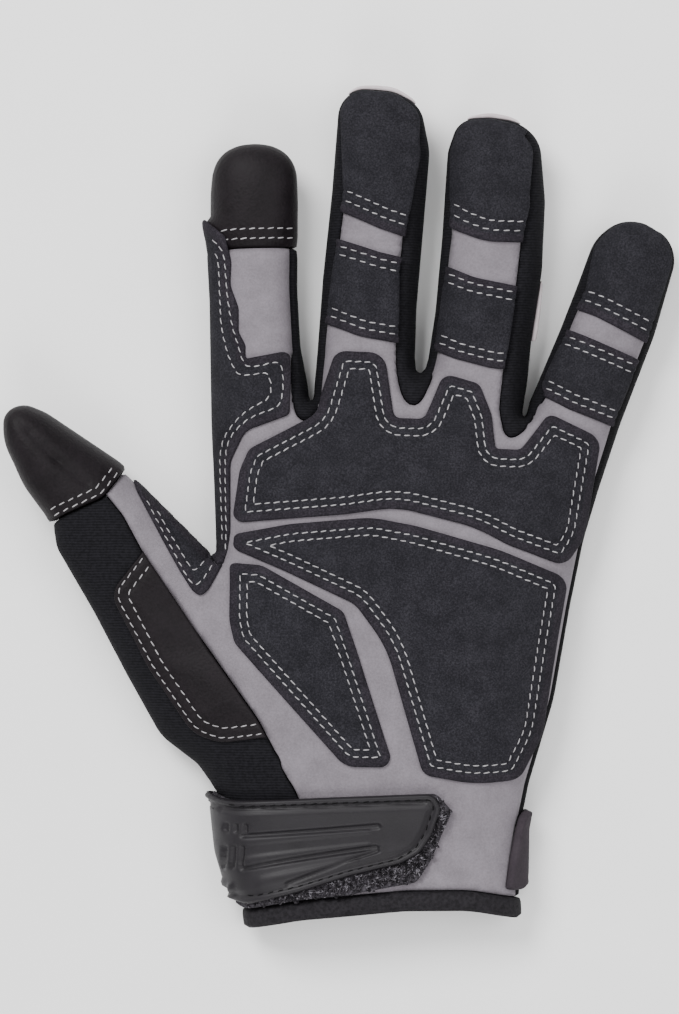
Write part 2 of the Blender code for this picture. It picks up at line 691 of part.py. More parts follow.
def shell(points, normals, mitre, faces, inner, outer):
    """Vertices and faces of a closed piece: the faces thickened from inner to outer, its rim drawn in."""
    faces, source = fans(faces.tolist())
    base, normal, reach = points[source], normals[source], mitre[source][:, None]
    unit = face_normals(base, faces)
    unit /= np.maximum(np.linalg.norm(unit, axis=1), 1e-15)[:, None]
    directed = np.vstack([faces[:, [0, 1]], faces[:, [1, 2]], faces[:, [2, 0]]])
    owner = np.tile(np.arange(len(faces)), 3)
    known = {tuple(edge) for edge in directed.tolist()}
    rim = np.array([(b, a) not in known for a, b in directed.tolist()])
    rim_edges, rim_owner = directed[rim], owner[rim]
    run = base[rim_edges[:, 1]] - base[rim_edges[:, 0]]
    length = np.linalg.norm(run, axis=1)
    into = np.cross(unit[rim_owner], run) / length[:, None]
    pull, shortest = np.zeros_like(base), np.full(len(base), np.inf)
    for k in range(2):
        np.add.at(pull, rim_edges[:, k], into)
        np.minimum.at(shortest, rim_edges[:, k], length)
    size = np.linalg.norm(pull, axis=1)
    widen = np.where(size > 0, 2 / np.maximum(size, 1.0), 0)
    shift = np.minimum(SEAM_GAP / 2 * widen, EDGE_PULL * shortest)
    base = base + pull / np.maximum(size, 1e-9)[:, None] * np.where(size > 0, shift, 0)[:, None]
    count = len(base)
    vertices = np.vstack([base + normal * reach * outer, base + normal * reach * inner])
    a, b = rim_edges[:, 0], rim_edges[:, 1]
    lower_first = (source[a] < source[b])[:, None]
    walls = np.vstack([
        np.where(lower_first, np.stack([b, a, b + count], axis=1), np.stack([b, a, a + count], axis=1)),
        np.where(
            lower_first,
            np.stack([a, a + count, b + count], axis=1),
            np.stack([b, a + count, b + count], axis=1),
        ),
    ])
    return vertices, np.vstack([faces, faces[:, ::-1] + count, walls]), 2 * len(faces)


def material(name, colour, roughness):
    made = bpy.data.materials.new(name)
    made.use_nodes = True
    surface = made.node_tree.nodes["Principled BSDF"]
    surface.inputs["Base Color"].default_value = (*colour, 1)
    surface.inputs["Roughness"].default_value = roughness
    surface.inputs["Metallic"].default_value = 0
    return made


def add_piece(name, vertices, faces, smooth_count):
    """One named object with its own material, smooth on its cloth faces and flat on its cut rim."""
    mesh = bpy.data.meshes.new(name)
    mesh.from_pydata(vertices.tolist(), [], faces.tolist())
    mesh.polygons.foreach_set("use_smooth", [k < smooth_count for k in range(len(faces))])
    colour, roughness = colour_of(name)
    mesh.materials.append(material(name, colour, roughness))
    bpy.context.scene.collection.objects.link(bpy.data.objects.new(name, mesh))


def colour_of(name):
    if name.startswith("fourchette"):
        return BLACK_KNIT
    if name.endswith("_guard"):
        return PALE_RUBBER
    return CLOTH_COLOURS.get(name, CHARCOAL)


class Plan:
    """The edge, seams and outlines of the glove in plan."""

    def __init__(self):
        owners = [BACK, LITTLE, RING, MIDDLE, PALM, THUMB]
        rows = [(*row[:4], owners.index(row[4])) for row in SIDE_EDGE]
        side = rounded(rows, STEP, closed=False)
        cuff_rows = [(*SIDE_EDGE[-1][:2], 0.0), *CUFF_EDGE, (*SIDE_EDGE[0][:2], 0.0)]
        self.cuff = rounded(cuff_rows, STEP, closed=False)
        self.rings = {name: rounded(table, STEP) for name, table in OUTLINES.items()}
        for name, upper, lower in FINGER_PATCHES + BACK_GUARDS:
            corners = [place(*row) for row in FINGER_LINES[upper] + FINGER_LINES[lower][::-1]]
            self.rings[name] = subdivided(closed_path(np.array(corners)), STEP)[:-1]
        hem = self.cuff[:, :2] + np.array([0, BINDING_HEIGHT])
        hem = np.vstack([hem[0] - (OVERRUN, 0), hem[1:-1], hem[-1] + (OVERRUN, 0)])
        below = hem[::-1] - np.array([0, BINDING_HEIGHT + OVERRUN])
        self.rings["cuff_binding"] = np.vstack([hem, below])
        self.clip_lines = [self.upright(*row) for row in BACK_CUTS]
        names = list(self.rings)
        side, *paths = woven([side, *(closed_path(self.rings[name]) for name in names)])
        side_spots = {tuple(row) for row in side[:, :2].tolist()}
        self.rings = {name: path[:-1] for name, path in zip(names, paths)}
        self.kept = [row for path in paths for row in path.tolist() if tuple(row) in side_spots]
        self.side = side[:, :2]
        self.owner = [owners[round(value)] for value in side[:, 3]]
        self.front_seam = inset(side, side[:, 2] * HAND_WIDTH)
        self.back_seam = inset(side, np.full(len(side), BACK_STRIP))
        self.ring = np.vstack([self.side, self.cuff[1:-1]])
        tail = np.array([0, -OPEN_TAIL])
        self.open_ring = np.vstack([self.side, self.side[-1] + tail, self.side[0] + tail])

    def upright(self, across, low, high):
        return subdivided(np.array([place(across, low), place(across, high)]), STEP)

    def strip_rings(self, seam):
        """The closed ring of each stretch of the side strip, by the piece that it belongs to."""
        found = []
        changes = [k for k in range(1, len(self.side)) if self.owner[k] != self.owner[k - 1]]
        for start, end in zip([0, *changes], [*changes, len(self.side) - 1]):
            inner = seam[start + 1:end + 2]
            if start == 0:
                inner = np.vstack([seam[:1], inner])
            if end == len(self.side) - 1:
                inner = np.vstack([inner, seam[-1:]])
            found.append((self.owner[start], np.vstack([self.side[start:end + 1], inner[::-1]])))
        return found

    def strip_ties(self, seam):
        """Short paths across the side strip where it passes from one piece to the next."""
        changes = [k for k in range(1, len(self.side)) if self.owner[k] != self.owner[k - 1]]
        return [np.array([self.side[k], seam[k + 1]]) for k in changes]


def front_sheet(plan):
    """The palm side: points, faces, edge numbers, and the piece that each face belongs to."""
    names = [*OUTLINES, "cuff_binding", *(row[0] for row in FINGER_PATCHES)]
    paths = [closed_path(plan.rings[name]) for name in names]
    ties = plan.strip_ties(plan.front_seam)
    paths = woven([*paths, plan.front_seam, *ties], [*plan.kept, *np.vstack(ties)])
    xy, faces, owner = triangulated(plan.ring, paths, GRID)
    middle = xy[faces].mean(axis=1)
    label = np.full(len(faces), PALM, dtype=object)
    label[inside(middle, plan.rings["thumb_panel"])] = THUMB
    for name, ring in plan.strip_rings(plan.front_seam):
        label[inside(middle, ring)] = name
    for name in ("index_cap", "thumb_cap", "cuff_binding"):
        label[inside(middle, plan.rings[name])] = name
    return xy, faces, owner, label, middle


def back_sheet(plan):
    """The back, as front_sheet."""
    seam_ring = plan.back_seam
    paths = [closed_path(plan.rings[name]) for name in ("index_cap", "thumb_cap", "cuff_binding")]
    paths += [closed_path(plan.rings[row[0]]) for row in BACK_GUARDS[:2]]
    ties = plan.strip_ties(plan.back_seam)
    paths += [plan.back_seam, *ties, *plan.clip_lines]
    for name in WRAPPED:
        path = closed_path(plan.rings[name])
        shown = back_zone(name, path, seam_ring)
        paths += stretches(path, shown)
    paths = woven(paths, [*plan.kept, *np.vstack(ties)])
    xy, faces, owner = triangulated(plan.ring, paths, BACK_GRID)
    middle = xy[faces].mean(axis=1)
    label = np.full(len(faces), BACK, dtype=object)
    for name, ring in plan.strip_rings(plan.back_seam):
        label[inside(middle, ring)] = name
    for name in ("index_cap", "thumb_cap", "cuff_binding"):
        label[inside(middle, plan.rings[name])] = name
    return xy, faces, owner, label, middle


def stretches(path, shown):
    """The runs of the path's segments that have a shown end."""
    used = shown[:-1] | shown[1:]
    starts = np.flatnonzero(used & ~np.concatenate([[False], used[:-1]]))
    ends = np.flatnonzero(used & ~np.concatenate([used[1:], [False]])) + 1
    return [path[start:end + 1] for start, end in zip(starts, ends)]


def back_zone(name, xy, seam_ring):
    """Where on the back a piece that wraps round the edge is carried on."""
    if name.startswith("strap"):
        return xy[:, 0] < STRAP_END * HAND_WIDTH + 1e-6
    if name == "cuff_tab":
        return xy[:, 0] > TAB_END * HAND_WIDTH - 1e-6
    if name in ("index_side_patch", "crotch_patch", "ring_side_guard"):
        return ~inside(xy, seam_ring)
    return np.full(len(xy), name.endswith("_guard"))


def joined_sheets(plan):
    """Both sheets as one surface that shares the side edge."""
    front_xy, front_faces, front_owner, front_label, front_middle = front_sheet(plan)
    back_xy, back_faces, back_owner, back_label, back_middle = back_sheet(plan)
    last = len(plan.side)
    front_on_edge = (front_owner >= 0) & (front_owner < last)
    back_on_edge = (back_owner >= 0) & (back_owner < last)
    front_depth = smooth_distance(front_xy, plan.open_ring)
    back_depth = smooth_distance(back_xy, plan.open_ring)
    front_depth[front_on_edge] = 0
    back_depth[back_on_edge] = 0
    front = np.column_stack([front_xy, front_height(front_xy, front_depth)])
    back = np.column_stack([back_xy, back_height(back_xy, back_depth)])
    edge_number = {front_owner[k]: k for k in np.flatnonzero(front_on_edge)}
    number = np.arange(len(back)) + len(front)
    for k in np.flatnonzero(back_on_edge):
        number[k] = edge_number[back_owner[k]]
    faces = np.vstack([front_faces, number[back_faces][:, ::-1]])
    label = np.concatenate([front_label, back_label])
    middle = np.vstack([front_middle, back_middle])
    on_front = np.arange(len(faces)) < len(front_faces)
    return np.vstack([front, back]), faces, label, middle, on_front


def layers():
    """The pieces laid over the sheets: name, height of the inner and outer face, and what they may lie on."""
    pads = [
        "knuckle_pad", "heel_pad", "thumb_base_pad", "index_side_patch", "crotch_patch",
        *(row[0] for row in FINGER_PATCHES),
    ]
    rows = [(name, LAYER_GAP, LAYER_GAP + PAD_WALL) for name in pads]
    rows += [
        ("thumb_patch", LAYER_GAP, LAYER_GAP + PAD_WALL),
        ("strap_loop", LOOP_BASE, LOOP_BASE + LOOP_WALL),
        ("strap_cover", COVER_BASE, STRAP_TOP),
        ("cuff_tab", LOOP_BASE, TAB_TOP),
    ]
    rows += [(row[0], LAYER_GAP, LAYER_GAP + GUARD_WALL) for row in BACK_GUARDS]
    return rows


def layer_faces(name, plan, label, middle, on_front):
    """The faces that a laid-on piece covers."""
    covered = inside(middle, plan.rings[name])
    if name.endswith("_guard"):
        return covered & ~on_front & back_zone(name, middle, plan.back_seam)
    allowed = on_front | back_zone(name, middle, plan.back_seam)
    if name.endswith("_tip_patch") or name.endswith("_mid_patch"):
        allowed = on_front & (label == PALM)
    if name == "thumb_patch":
        allowed = on_front & (label == THUMB)
    if name.startswith("strap") or name == "cuff_tab":
        allowed = allowed & (label != "cuff_binding")
    return covered & allowed


def build():
    for old in list(bpy.data.objects):
        bpy.data.objects.remove(old)
    plan = Plan()
    points, faces, label, middle, on_front = joined_sheets(plan)
    normals, mitre = vertex_normals(points, faces)
    depth = {"cuff_binding": (-BINDING_DEPTH, BINDING_PROUD), "thumb_cap": (-CLOTH_WALL, CAP_PROUD)}
    made = []
    for name in sorted(set(label)):
        inner, outer = depth.get(name, (-CLOTH_WALL, 0))
        made.append((name, *shell(points, normals, mitre, faces[label == name], inner, outer)))
    for name, inner, outer in layers():
        chosen = faces[layer_faces(name, plan, label, middle, on_front)]
        made.append((name, *shell(points, normals, mitre, chosen, inner, outer)))
    every = np.vstack([row[1] for row in made])
    low, high = every.min(axis=0), every.max(axis=0)
    origin = np.array([(low[0] + high[0]) / 2, (low[1] + high[1]) / 2, low[2]])
    for name, vertices, piece_faces, smooth_count in made:
        add_piece(name, vertices - origin, piece_faces, smooth_count)


build()
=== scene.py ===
"""The looks of a left mechanic glove that lies on its back with the palm up.

Metres, +Z up, the fingers towards +Y and the thumb towards -X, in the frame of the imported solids. The glove
is two sheets, the palm side and the back, that meet at the side edge. Every panel and pad is a part of these
sheets, thickened along their normals, with its own seams, stitch rows, folds and material.
Places are shares: across is a share of HAND_WIDTH, and along runs from 0 at the cuff to 1 at the finger
crotches, in shares of PALM_LENGTH, and on to 2 at the middle fingertip, in shares of FINGER_REACH.
"""

import math

import bpy
import numpy as np
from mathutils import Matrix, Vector
from mathutils.bvhtree import BVHTree
from mathutils.geometry import delaunay_2d_cdt
from mathutils.kdtree import KDTree


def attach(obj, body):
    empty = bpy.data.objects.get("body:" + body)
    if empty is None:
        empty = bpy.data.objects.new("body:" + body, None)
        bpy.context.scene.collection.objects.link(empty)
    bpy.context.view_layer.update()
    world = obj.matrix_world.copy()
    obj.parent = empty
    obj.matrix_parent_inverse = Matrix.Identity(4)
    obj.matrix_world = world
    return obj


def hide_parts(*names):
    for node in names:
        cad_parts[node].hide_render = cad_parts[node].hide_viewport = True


# The hand
HAND_WIDTH = 0.110
PALM_LENGTH = 0.150
FINGER_REACH = 0.095

# The filled form
EDGE_HEIGHT = 0.008
FRONT_RISE = 0.015
FRONT_ROUND = 0.012
BACK_ROUND = 0.006
BACK_PRESS = 1.04
FINGER_CURL = 0.008
THUMB_CURL = 0.009
THUMB_START = -0.5

# Walls and gaps
CLOTH_WALL = 0.0012
PAD_WALL = 0.0010
CAP_PROUD = 0.0012
SEAM_GAP = 0.0003
LAYER_GAP = 0.00025
BINDING_HEIGHT = 0.0062
BINDING_DEPTH = 0.0018
BINDING_PROUD = 0.0002
BACK_STRIP = 0.0020
LOOP_WALL = 0.0013
COVER_WALL = 0.0015
TAB_WALL = 0.0024
GUARD_WALL = 0.0006
GUARD_CROWN = 0.0009
STRAP_END = -0.27
TAB_END = 0.28

# Stitches
ROW_INSET = 0.0029
ROW_SPACING = 0.0021
ROW_ROUND = 0.020
STITCH_PITCH = 0.0027
STITCH_LENGTH = 0.0021
THREAD_WIDTH = 0.00040
THREAD_HEIGHT = 0.00028
STITCH_SLANT = math.radians(7)
GROOVE_DEPTH = 0.00038
GROOVE_WIDTH = 0.0007

# Cut edges and seams
PAD_ROUND = 0.0007
CLOTH_ROUND = 0.0008
CUT_FACE = 0.3
SEAM_SINK = 0.0003
SINK_REACH = 2.2

# Sampling
STEP = 0.0012
CORNER_SHARE = 0.48
ARC_TURN = math.radians(12)
FRONT_GRID = 0.0014
BACK_GRID = 0.0030
PAD_GRID = 0.0011
FINE_GRID = 0.0006
STRAP_GRID = 0.0005
FINE = 0.0004
SIDE_CLEAR = 0.0007
CAP_CLEAR = 0.0006
ROW_CLEAR = 0.0014
EDGE_ROWS = (0.00012, 0.00045, 0.0011, 0.0022)
RIM_ROWS = (0.00012, 0.00035, 0.0007)
OPEN_TAIL = 0.075
OVERRUN = 0.004
SAME_PLACE = 2e-6
TINY = 1e-15
RAY_START = 0.2
BLOCK = 2000

# Heights of the layers above the sheets
LOOP_BASE = BINDING_PROUD + SEAM_GAP
COVER_BASE = LOOP_BASE + LOOP_WALL + SEAM_GAP
STRAP_TOP = COVER_BASE + COVER_WALL
TAB_TOP = LOOP_BASE + TAB_WALL

BACK, LITTLE, RING, MIDDLE, PALM, THUMB = (
    "back_panel", "fourchette_ring_little", "fourchette_middle_ring", "fourchette_index_middle",
    "palm_panel", "thumb_panel",
)

# The side edge, from the cuff's little-finger corner round the fingers and the thumb to its other corner, by
# the piece that the side strip belongs to. Columns: across, along, corner radius, and width of the strip seen
# on the palm side. The radius and the width are shares of HAND_WIDTH.
SIDE_STRIPS = [
    (BACK, [
        # wrist and hand, little-finger side
        (0.378, 0.010, 0.000, 0.008), (0.372, 0.088, 0.053, 0.008), (0.374, 0.185, 0.053, 0.008),
        (0.398, 0.273, 0.159, 0.008), (0.465, 0.438, 0.531, 0.008), (0.507, 0.615, 0.531, 0.007),
        (0.544, 0.749, 0.531, 0.007), (0.584, 0.847, 0.398, 0.016),
        # little finger
        (0.642, 0.975, 0.796, 0.019), (0.733, 1.235, 0.531, 0.016), (0.791, 1.471, 0.120, 0.011),
        (0.770, 1.539, 0.120, 0.008),
    ]),
    (LITTLE, [
        (0.703, 1.588, 0.120, 0.007), (0.634, 1.588, 0.120, 0.007), (0.573, 1.533, 0.120, 0.008),
        (0.528, 1.391, 0.265, 0.021), (0.483, 1.256, 0.265, 0.016), (0.427, 1.102, 0.159, 0.011),
        (0.401, 1.032, 0.016, 0.017), (0.393, 0.997, 0.008, 0.021), (0.386, 0.989, 0.008, 0.040),
        (0.381, 0.997, 0.008, 0.058),
        # ring finger
        (0.386, 1.035, 0.021, 0.066), (0.394, 1.090, 0.159, 0.069), (0.406, 1.235, 0.159, 0.066),
        (0.433, 1.434, 0.212, 0.066), (0.441, 1.650, 0.265, 0.042), (0.427, 1.834, 0.120, 0.024),
        (0.372, 1.892, 0.120, 0.010),
    ]),
    (RING, [
        (0.292, 1.905, 0.159, 0.007), (0.210, 1.899, 0.120, 0.007), (0.181, 1.803, 0.120, 0.008),
        (0.167, 1.542, 0.398, 0.019), (0.149, 1.311, 0.398, 0.013), (0.130, 1.164, 0.032, 0.011),
        (0.123, 1.136, 0.011, 0.019), (0.109, 1.118, 0.011, 0.074), (0.097, 1.130, 0.008, 0.080),
        # middle finger
        (0.094, 1.167, 0.016, 0.045), (0.098, 1.318, 0.265, 0.048), (0.114, 1.536, 0.398, 0.045),
        (0.133, 1.803, 0.159, 0.025), (0.109, 1.942, 0.120, 0.012), (0.037, 1.984, 0.106, 0.007),
    ]),
    (MIDDLE, [
        (-0.011, 1.989, 0.265, 0.007), (-0.066, 1.992, 0.120, 0.007), (-0.109, 1.945, 0.120, 0.008),
        (-0.127, 1.680, 0.398, 0.029), (-0.151, 1.419, 0.398, 0.024), (-0.167, 1.173, 0.265, 0.011),
        (-0.174, 1.081, 0.053, 0.011), (-0.176, 1.047, 0.008, 0.013), (-0.182, 1.033, 0.008, 0.037),
        (-0.189, 1.047, 0.008, 0.040),
        # index finger
        (-0.192, 1.081, 0.021, 0.034), (-0.212, 1.204, 0.212, 0.013), (-0.220, 1.373, 0.265, 0.012),
        (-0.218, 1.640, 0.159, 0.015),
    ]),
    (PALM, [
        (-0.219, 1.690, 0.120, 0.011), (-0.221, 1.738, 0.120, 0.011), (-0.233, 1.775, 0.120, 0.011),
        (-0.256, 1.803, 0.120, 0.011), (-0.289, 1.821, 0.120, 0.011), (-0.331, 1.827, 0.159, 0.011),
        (-0.376, 1.821, 0.120, 0.011), (-0.410, 1.803, 0.120, 0.011), (-0.433, 1.775, 0.120, 0.011),
        (-0.446, 1.736, 0.120, 0.011), (-0.451, 1.672, 0.159, 0.011), (-0.4515, 1.603, 0.006, 0.011),
        (-0.4640, 1.583, 0.006, 0.011), (-0.4500, 1.500, 0.159, 0.011), (-0.443, 1.342, 0.531, 0.011),
        (-0.438, 0.983, 0.531, 0.011), (-0.427, 0.769, 0.398, 0.011),
        # thumb
        (-0.425, 0.693, 0.024, 0.011), (-0.653, 0.860, 0.159, 0.011), (-0.696, 0.894, 0.159, 0.011),
        (-0.892, 0.991, 0.120, 0.011),
    ]),
    (THUMB, [
        (-0.948, 1.013, 0.120, 0.011), (-0.990, 0.993, 0.120, 0.011), (-0.990, 0.944, 0.159, 0.011),
        (-0.937, 0.858, 0.239, 0.011), (-0.873, 0.794, 0.080, 0.011), (-0.860, 0.734, 0.080, 0.011),
        (-0.762, 0.609, 0.531, 0.011), (-0.674, 0.485, 0.531, 0.011), (-0.584, 0.366, 0.133, 0.011),
        (-0.486, 0.311, 0.066, 0.011),
        # wrist, thumb side
        (-0.454, 0.278, 0.032, 0.011), (-0.419, 0.237, 0.053, 0.011), (-0.406, 0.146, 0.159, 0.011),
        (-0.372, 0.062, 0.080, 0.011), (-0.360, -0.011, 0.000, 0.011),
    ]),
]
SIDE_EDGE = [(*row, owner) for owner, rows in SIDE_STRIPS for row in rows]

# The cuff's edge between its two corners. Columns: across, along, corner radius.
CUFF_EDGE = [
    (-0.212, 0.009, 0.531),
    (0.066, 0.028, 0.531),
    (0.239, 0.028, 0.398),
]

# Outlines on the palm side. Columns: across, along, corner radius.
OUTLINES = {
    "knuckle_pad": [
        (-0.388, 0.783, 0.024), (-0.090, 0.800, 0.398), (0.045, 0.814, 0.265), (0.250, 0.775, 0.398),
        (0.340, 0.740, 0.212), (0.488, 0.699, 0.037), (0.539, 0.755, 0.159), (0.560, 0.847, 0.398),
        (0.584, 0.948, 0.042), (0.449, 0.995, 0.024), (0.372, 0.925, 0.024), (0.305, 0.927, 0.013),
        (0.295, 0.993, 0.080), (0.263, 1.084, 0.032), (0.170, 1.115, 0.032), (0.117, 0.985, 0.024),
        (0.037, 0.987, 0.021), (0.011, 1.179, 0.048), (-0.114, 1.185, 0.032), (-0.165, 0.995, 0.066),
        (-0.345, 0.927, 0.032), (-0.369, 0.886, 0.106),
    ],
    "heel_pad": [
        (-0.382, 0.761, 0.016), (-0.385, 0.732, 0.019), (-0.250, 0.689, 0.265), (-0.066, 0.625, 0.080),
        (0.016, 0.543, 0.319), (0.114, 0.294, 0.037), (0.250, 0.276, 0.398), (0.366, 0.284, 0.048),
        (0.427, 0.370, 0.212), (0.467, 0.555, 0.531), (0.496, 0.675, 0.042), (0.319, 0.730, 0.531),
        (0.098, 0.777, 0.398), (-0.021, 0.794, 0.265), (-0.239, 0.781, 0.398),
    ],
    "thumb_base_pad": [
        (-0.396, 0.705, 0.016), (-0.313, 0.701, 0.066), (-0.098, 0.611, 0.032), (-0.056, 0.520, 0.398),
        (0.037, 0.308, 0.027), (-0.093, 0.310, 0.066), (-0.385, 0.551, 0.053), (-0.398, 0.594, 0.159),
    ],
    "index_side_patch": [
        (-0.480, 1.607, 0.000), (-0.409, 1.539, 0.021), (-0.393, 1.459, 0.053), (-0.396, 1.388, 0.053),
        (-0.374, 1.318, 0.040), (-0.374, 1.244, 0.027), (-0.356, 1.204, 0.021), (-0.356, 1.161, 0.008),
        (-0.244, 1.185, 0.016), (-0.239, 1.096, 0.106), (-0.239, 0.993, 0.016), (-0.356, 0.962, 0.053),
        (-0.396, 0.901, 0.066), (-0.396, 0.766, 0.106), (-0.404, 0.729, 0.053), (-0.415, 0.704, 0.000),
        (-0.430, 0.699, 0.000), (-0.478, 0.734, 0.000),
    ],
    "crotch_patch": [
        (-0.674, 0.894, 0.000), (-0.648, 0.844, 0.053), (-0.576, 0.747, 0.212), (-0.532, 0.690, 0.106),
        (-0.498, 0.651, 0.053), (-0.476, 0.640, 0.040), (-0.455, 0.651, 0.053), (-0.434, 0.678, 0.053),
        (-0.417, 0.701, 0.000), (-0.430, 0.697, 0.000), (-0.478, 0.732, 0.000),
    ],
    "thumb_patch": [
        (-0.605, 0.749, 0.000), (-0.714, 0.648, 0.058), (-0.611, 0.500, 0.398), (-0.494, 0.374, 0.106),
        (-0.419, 0.356, 0.106), (-0.250, 0.372, 0.000),
    ],
    "thumb_panel": [
        (-0.757, 0.870, 0.000), (-0.680, 0.800, 0.159), (-0.621, 0.718, 0.265), (-0.467, 0.549, 0.531),
        (-0.324, 0.401, 0.265), (-0.271, 0.327, 0.212), (-0.210, 0.237, 0.265), (-0.133, -0.019, 0.000),
        (-0.531, -0.019, 0.000), (-1.088, 0.711, 0.000), (-0.929, 0.944, 0.000),
    ],
    "thumb_cap": [
        (-0.940, 0.757, 0.000), (-0.876, 0.783, 0.053), (-0.844, 0.796, 0.053), (-0.733, 0.833, 0.053),
        (-0.690, 0.874, 0.027), (-0.677, 0.890, 0.000), (-0.611, 0.944, 0.000), (-0.903, 1.096, 0.000),
        (-1.062, 1.096, 0.000), (-1.062, 0.769, 0.000),
    ],
    "index_cap": [
        (-0.504, 1.480, 0.000), (-0.393, 1.499, 0.398), (-0.186, 1.505, 0.000), (-0.159, 1.895, 0.000),
        (-0.504, 1.895, 0.000),
    ],
    "strap_loop": [
        (-0.504, 0.284, 0.000), (-0.388, 0.241, 0.106), (-0.175, 0.248, 0.398), (0.149, 0.258, 0.027),
        (0.191, 0.224, 0.021), (0.133, 0.123, 0.053), (0.096, 0.084, 0.027), (-0.056, 0.064, 0.159),
        (-0.212, 0.033, 0.159), (-0.345, 0.031, 0.053), (-0.465, 0.068, 0.000),
    ],
    "strap_cover": [
        (-0.504, 0.288, 0.000), (-0.388, 0.245, 0.106), (-0.175, 0.252, 0.398), (0.141, 0.260, 0.027),
        (0.162, 0.234, 0.027), (0.137, 0.178, 0.080), (0.106, 0.140, 0.053), (0.056, 0.118, 0.106),
        (-0.080, 0.094, 0.159), (-0.215, 0.064, 0.159), (-0.340, 0.043, 0.053), (-0.465, 0.076, 0.000),
    ],
    "cuff_tab": [
        (0.384, 0.224, 0.016), (0.366, 0.211, 0.032), (0.354, 0.179, 0.106), (0.341, 0.128, 0.106),
        (0.330, 0.070, 0.008), (0.362, 0.066, 0.008), (0.402, 0.096, 0.011), (0.440, 0.110, 0.000),
        (0.440, 0.224, 0.000),
    ],
}

# Where the dark finger sides end on the palm side at each crotch, in the order of SIDE_EDGE. Columns: across,
# along.
CROTCH_SEAMS = [
    [
        (0.437, 1.054), (0.409, 1.007), (0.390, 0.977), (0.378, 0.961), (0.361, 0.951), (0.342, 0.949),
        (0.329, 0.960), (0.323, 0.987), (0.319, 1.007), (0.327, 1.073), (0.333, 1.133), (0.341, 1.183),
        (0.368, 1.392), (0.380, 1.518),
    ],
    [
        (0.149, 1.188), (0.139, 1.143), (0.129, 1.091), (0.116, 1.046), (0.103, 1.024), (0.084, 1.017),
        (0.065, 1.035), (0.054, 1.069), (0.050, 1.113), (0.051, 1.225), (0.054, 1.441), (0.064, 1.478),
        (0.067, 1.530),
    ],
    [
        (-0.151, 1.180), (-0.159, 1.113), (-0.163, 1.054), (-0.170, 1.009), (-0.181, 0.986), (-0.199, 0.981),
        (-0.217, 0.989), (-0.226, 1.013), (-0.227, 1.076), (-0.227, 1.225), (-0.234, 1.419),
    ],
]

# Stitch rows of the patches round the thumb's crotch. Columns: across, along.
SEWN_LINES = {
    "index_side_patch": [
        [
            (-0.453, 1.538), (-0.421, 1.501), (-0.412, 1.471), (-0.409, 1.419), (-0.405, 1.359),
            (-0.398, 1.300), (-0.390, 1.255), (-0.376, 1.203), (-0.365, 1.158), (-0.353, 1.136),
            (-0.318, 1.139), (-0.282, 1.151), (-0.263, 1.147), (-0.257, 1.113), (-0.257, 1.069),
            (-0.263, 1.024), (-0.279, 1.009), (-0.324, 0.994), (-0.356, 0.982), (-0.389, 0.959),
            (-0.406, 0.935), (-0.4105, 0.907), (-0.4105, 0.858), (-0.4080, 0.766), (-0.411, 0.728),
        ],
        [
            (-0.452, 1.493), (-0.434, 1.486), (-0.428, 1.449), (-0.426, 1.389), (-0.424, 1.329),
            (-0.422, 1.270), (-0.413, 1.218), (-0.403, 1.173), (-0.387, 1.132), (-0.373, 1.110),
            (-0.331, 1.113), (-0.299, 1.121), (-0.289, 1.091), (-0.289, 1.054), (-0.300, 1.035),
            (-0.337, 1.013), (-0.369, 0.992), (-0.395, 0.970), (-0.412, 0.952), (-0.422, 0.930),
            (-0.4250, 0.907), (-0.4240, 0.858), (-0.4190, 0.766), (-0.4205, 0.736),
        ],
    ],
    "crotch_patch": [
        [
            (-0.630, 0.842), (-0.601, 0.800), (-0.558, 0.741), (-0.514, 0.681), (-0.492, 0.659),
            (-0.470, 0.672), (-0.442, 0.704),
        ],
        [
            (-0.628, 0.848), (-0.595, 0.811), (-0.564, 0.770), (-0.523, 0.720), (-0.494, 0.687),
            (-0.476, 0.701), (-0.460, 0.713),
        ],
    ],
}

# Lines across a finger, from its thumb side to its little-finger side. Columns: across, along.
FINGER_LINES = {
    "middle_tip": [(-0.190, 1.662), (-0.106, 1.616), (0.000, 1.560), (0.125, 1.512)],
    "middle_mid_top": [(-0.190, 1.561), (-0.111, 1.530), (0.000, 1.487), (0.125, 1.453)],
    "middle_mid_low": [(-0.190, 1.304), (-0.135, 1.268), (-0.050, 1.228), (0.125, 1.194)],
    "middle_end": [(-0.180, 2.150), (0.155, 2.150)],
    "ring_tip": [(0.145, 1.600), (0.207, 1.554), (0.279, 1.520), (0.478, 1.517)],
    "ring_mid_top": [(0.142, 1.465), (0.250, 1.410), (0.358, 1.385), (0.460, 1.372)],
    "ring_mid_low": [(0.115, 1.207), (0.199, 1.161), (0.300, 1.130), (0.415, 1.126)],
    "ring_end": [(0.155, 2.050), (0.490, 2.050)],
    "little_tip": [(0.451, 1.348), (0.571, 1.293), (0.709, 1.210), (0.823, 1.152)],
    "little_mid_top": [(0.438, 1.281), (0.550, 1.228), (0.690, 1.158), (0.796, 1.105)],
    "little_mid_low": [(0.405, 1.066), (0.499, 1.007), (0.624, 0.969), (0.730, 0.940)],
    "little_end": [(0.530, 1.750), (0.900, 1.650)],
    "middle_guard_low": [
        (-0.180, 2.050), (-0.078, 1.980), (-0.056, 1.915), (-0.025, 1.875), (0.030, 1.868), (0.066, 1.895),
        (0.090, 1.948), (0.175, 2.020),
    ],
    "ring_guard_low": [
        (0.150, 1.965), (0.238, 1.900), (0.262, 1.838), (0.290, 1.808), (0.330, 1.806), (0.358, 1.838),
        (0.370, 1.890), (0.450, 1.945),
    ],
    "ring_side_top": [(0.390, 1.400), (0.475, 1.410)],
    "ring_side_low": [(0.370, 1.225), (0.440, 1.215)],
}

